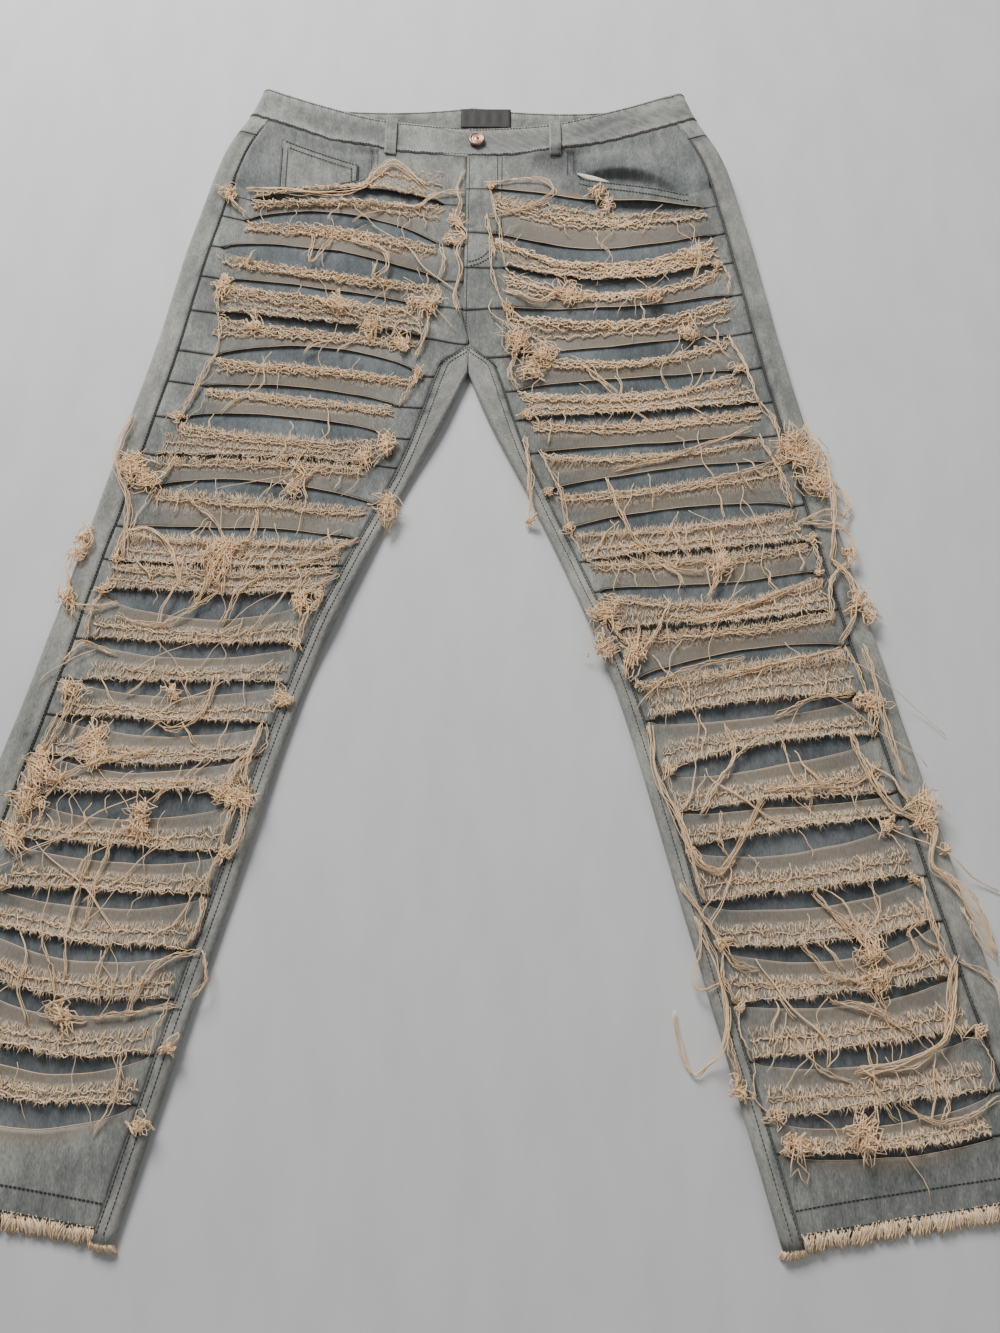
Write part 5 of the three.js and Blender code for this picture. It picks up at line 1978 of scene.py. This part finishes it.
    def build(self) -> None:
        """Build every detail in order."""
        for side in Side:
            self.facing(side)
            self.bag(side)
            self.belt_loop(f"belt_loop_front_{side.word}", side, True)
            self.belt_loop(f"belt_loop_back_{side.word}", side, False)
        self.belt_loop("belt_loop_back_centre", Side.RIGHT, False)
        self.bag_edge()
        self.coin_pocket()
        self.fly_shield()
        self.label()
        self.button()


# Stitching

@dataclass
class Stitching:
    """Rows of dark stitches on the seams, hems, pockets, fly and waistband, as one mesh of short threads."""

    wardrobe: Wardrobe
    pitch: float = 3.3 * MM
    coin: CoinPocketShape = CoinPocketShape()
    shape: LaidShape = SHAPE

    def __post_init__(self) -> None:
        """Start with no stitches."""
        self.threads = Yarns()

    def line(self, points: Array, radius: float = 0.46 * MM) -> None:
        """Sew along a line of points: each stitch rises from the cloth, runs on it and goes back in.

        Args:
            points: the line, as rows of 3, close together.
            radius: half the thread's thickness.
        """
        steps = np.linalg.norm(np.diff(points, axis=0), axis=1)
        away = np.concatenate([[0.0], np.cumsum(steps)])
        count = int(away[-1] / self.pitch)
        if count < 1:
            return
        starts = np.arange(count)[:, None] * self.pitch
        part = np.array([0.05, 0.39, 0.73])[None, :]
        s = starts + part * self.pitch
        path = np.stack([np.interp(s, away, points[:, i]) for i in range(3)], axis=-1)
        path[..., 2] += np.array([0.10, 0.60, 0.10]) * MM
        radii = radius * np.array([0.8, 1.0, 0.8])[None, :] * np.ones((count, 1))
        self.threads.add(path, radii, np.zeros(count))

    def on_front(self, side: Side, x: Array, level: Array, up: Array = 0.0) -> Array:
        """Points on the front's face, raised by up."""
        x, level = np.broadcast_arrays(x, level)
        return self.shape.place(side, x, level, self.shape.face(side, x, level) + up)

    def _seams(self, side: Side) -> None:
        """A row beside the outseam, twin rows beside the inseam, and the two hem rows on the front."""
        shape = self.shape
        level = np.linspace(0.0, 0.995, 500)
        self.line(self.on_front(side, shape.outseam(level) + 1.6 * MM, level))
        leg = np.linspace(0.0, shape.crotch_level - 0.004, 400)
        for inset in (1.8, 7.5):
            inside = np.maximum(shape.inseam(leg) - inset * MM, shape.inner_edge(leg) + 1.0 * MM)
            self.line(self.on_front(side, inside, leg))
        f = np.linspace(0.0, 1.0, 120)
        for height in (3.0 * MM, 18.5 * MM):
            level = np.full_like(f, height)
            x = lerp(shape.inseam(level) + 1 * MM, shape.outseam(level), f)
            self.line(self.on_front(side, x, level), 0.65 * MM)

    def _pocket(self, front: SlashedFront) -> None:
        """Twin rows that follow the pocket mouth, and twin rows up from its inner end."""
        side, shape = front.side, self.shape
        rung = front.rungs[-1]
        x = np.linspace(shape.mouth_start + 0.004, shape.mouth_end + 0.004, 130)
        for below in (1.8, 8.2):
            level = shape.mouth_level(x) - below * MM
            z = shape.face(side, x, level) + rung.mouth_lip(x, level)
            keep = x < shape.outseam(level)
            self.line(shape.place(side, x, level, z)[keep])
        for out in (1.8, 8.2):
            level = np.linspace(shape.mouth_top_level + 0.002, shape.waist_seam_level - 0.001, 30)
            self.line(self.on_front(side, np.full(30, shape.mouth_start - out * MM), level))

    def _fly(self, front: SlashedFront) -> None:
        """The fly's edge row, and its twin J, which runs down beside the fly and turns in to its foot."""
        lift = front.rungs[-1].fly_lift
        level = np.linspace(0.782, 0.998, 180)
        edge_x = np.full_like(level, -3.0 * MM)
        self.line(self.on_front(Side.RIGHT, edge_x, level, lift(edge_x, level)))
        for x, foot in ((0.0265, 0.905), (0.0310, 0.900)):
            down = np.linspace(0.998, foot, 80)
            turn = np.linspace(0.0, math.pi / 2, 50)
            reach = x + 0.004
            curve_x = x - reach * (1.0 - np.cos(turn))
            curve_level = foot - 0.045 * np.sin(turn)
            px = np.concatenate([np.full(80, x), curve_x])
            pl = np.concatenate([down, curve_level])
            self.line(self.on_front(Side.RIGHT, px, pl, lift(px, pl) + 0.1 * MM))

    def _waistband(self) -> None:
        """Rows along the waistband's two edges on the front and round the sides, and one on its lining."""
        path = SectionPath()
        low, high = self.shape.waist_seam_level + 2.2 * MM, self.shape.waist_top_level - 2.6 * MM
        outside = np.concatenate([np.linspace(0.0, 1.0, 200), np.linspace(1.0, 2.0, 30)[1:]])
        inside = np.linspace(2.05, 3.0, 160)
        for side in Side:
            end = -0.004 if side is Side.RIGHT else 0.008
            for u, level, depth in ((outside, low, 0.0), (outside, high, 0.0), (inside, high, 2.4 * MM)):
                rest = (np.full_like(u, level), u, np.full_like(u, depth))
                self.line(path.points(side, np.array(end), *rest))

    def _coin_pocket(self) -> None:
        """Twin rows down the coin pocket's sides and across its top."""
        for inset in (1.6 * MM, 7.0 * MM):
            edges = (self.coin.inner + inset, self.coin.outer - inset)
            x = np.linspace(*edges, 50)
            self.line(self.on_front(Side.LEFT, x, self.coin.top(x) - inset, -0.7 * MM))
            for edge in edges:
                foot = float(self.shape.mouth_level(np.array(edge))) + 0.003
                level = np.linspace(foot, self.coin.top_at_inner - 0.002, 24)
                self.line(self.on_front(Side.LEFT, np.full(24, edge), level, -0.9 * MM))

    def build(self, fronts: dict) -> Piece:
        """Sew every row and join the stitches."""
        for side in Side:
            self._seams(side)
            self._pocket(fronts[side])
        self._fly(fronts[Side.RIGHT])
        self._waistband()
        self._coin_pocket()
        piece = self.threads.build("topstitching")
        return self.wardrobe.dress(piece, self.wardrobe.thread, Slot.DENIM)


# Studio

@dataclass
class Studio:
    """The pale floor, the soft lights and the camera over the hems."""

    camera_height: float = 0.765
    pitch_down: float = 71.4
    yaw: float = 0.5
    lens: float = 24.95
    camera_x: float = 0.036
    hem_distance: float = 0.1785
    floor_half: float = 6.0
    floor_drop: float = 0.4 * MM
    sky_strength: float = 0.18

    def floor(self) -> None:
        """A wide pale floor just under the surface that the garment lies on."""
        half, z = self.floor_half, -self.floor_drop
        points = np.array([(-half, -half, z), (half, -half, z), (half, half, z), (-half, half, z)])
        floor = make_object("floor", points, [np.array([[0, 1, 2, 3]])], smooth=False)
        finish = PlainClothFinish("floor_paper", (0.62, 0.62, 0.61), (0.66, 0.66, 0.65), 30.0, 0.85)
        floor.data.materials.append(finish.build())

    def lights(self) -> None:
        """A broad key from the waist's left, a fill from the hems, and an even pale sky."""
        self._area("key_light", (-0.9, 1.9, 1.7), 1.1, 108.0)
        self._area("fill_light", (1.8, -0.6, 1.9), 2.2, 12.0)
        world = bpy.data.worlds.new("sky")
        world.use_nodes = True
        background = world.node_tree.nodes["Background"]
        background.inputs["Color"].default_value = (0.92, 0.95, 1.0, 1.0)
        background.inputs["Strength"].default_value = self.sky_strength
        bpy.context.scene.world = world

    @staticmethod
    def _area(name: str, place: tuple, size: float, power: float) -> None:
        """Add a square soft light that looks at the garment's middle."""
        data = bpy.data.lights.new(name, "AREA")
        data.size = size
        data.energy = power
        light = bpy.data.objects.new(name, data)
        light.location = place
        light.rotation_euler = (-Vector(place)).to_track_quat("-Z", "Y").to_euler()
        bpy.context.scene.collection.objects.link(light)

    def camera(self) -> None:
        """The camera beyond the hems, looking steeply down and up the garment."""
        data = bpy.data.cameras.new("camera")
        data.lens = self.lens
        data.sensor_width = 36.0
        data.sensor_fit = "AUTO"
        camera = bpy.data.objects.new("camera", data)
        hem_y = -SHAPE.centre_y()
        camera.location = (self.camera_x, hem_y + self.hem_distance, self.camera_height)
        camera.rotation_euler = (math.radians(90.0 - self.pitch_down), 0.0, math.radians(self.yaw))
        bpy.context.scene.collection.objects.link(camera)
        bpy.context.scene.camera = camera

    def build(self) -> None:
        """Set up the floor, the lights and the camera."""
        self.floor()
        self.lights()
        self.camera()


def main() -> None:
    """Build the garment's pieces in order, from the camera to the loose yarns."""
    logging.basicConfig(level=logging.INFO, format="%(message)s")
    Studio().build()
    wardrobe = Wardrobe()
    backs = BackPieces(wardrobe)
    for side in Side:
        backs.back(side)
        backs.yoke(side)
        backs.pocket(side)
    Waistband(wardrobe).build()
    fronts = {side: SlashedFront(wardrobe, side, seed) for side, seed in ((Side.LEFT, 11), (Side.RIGHT, 23))}
    for side, front in fronts.items():
        cloth = front.build_cloth()
        front.build_backing()
        yarns = FrayedEdges(wardrobe, front, seed=300 + side.value).build()
        yarns += LooseYarns(wardrobe, front).build()
        HemFringe(wardrobe, side, seed=500 + side.value).build()
    FrontDetails(wardrobe).build()
    Stitching(wardrobe).build(fronts)


if __name__ == "__main__":
    main()
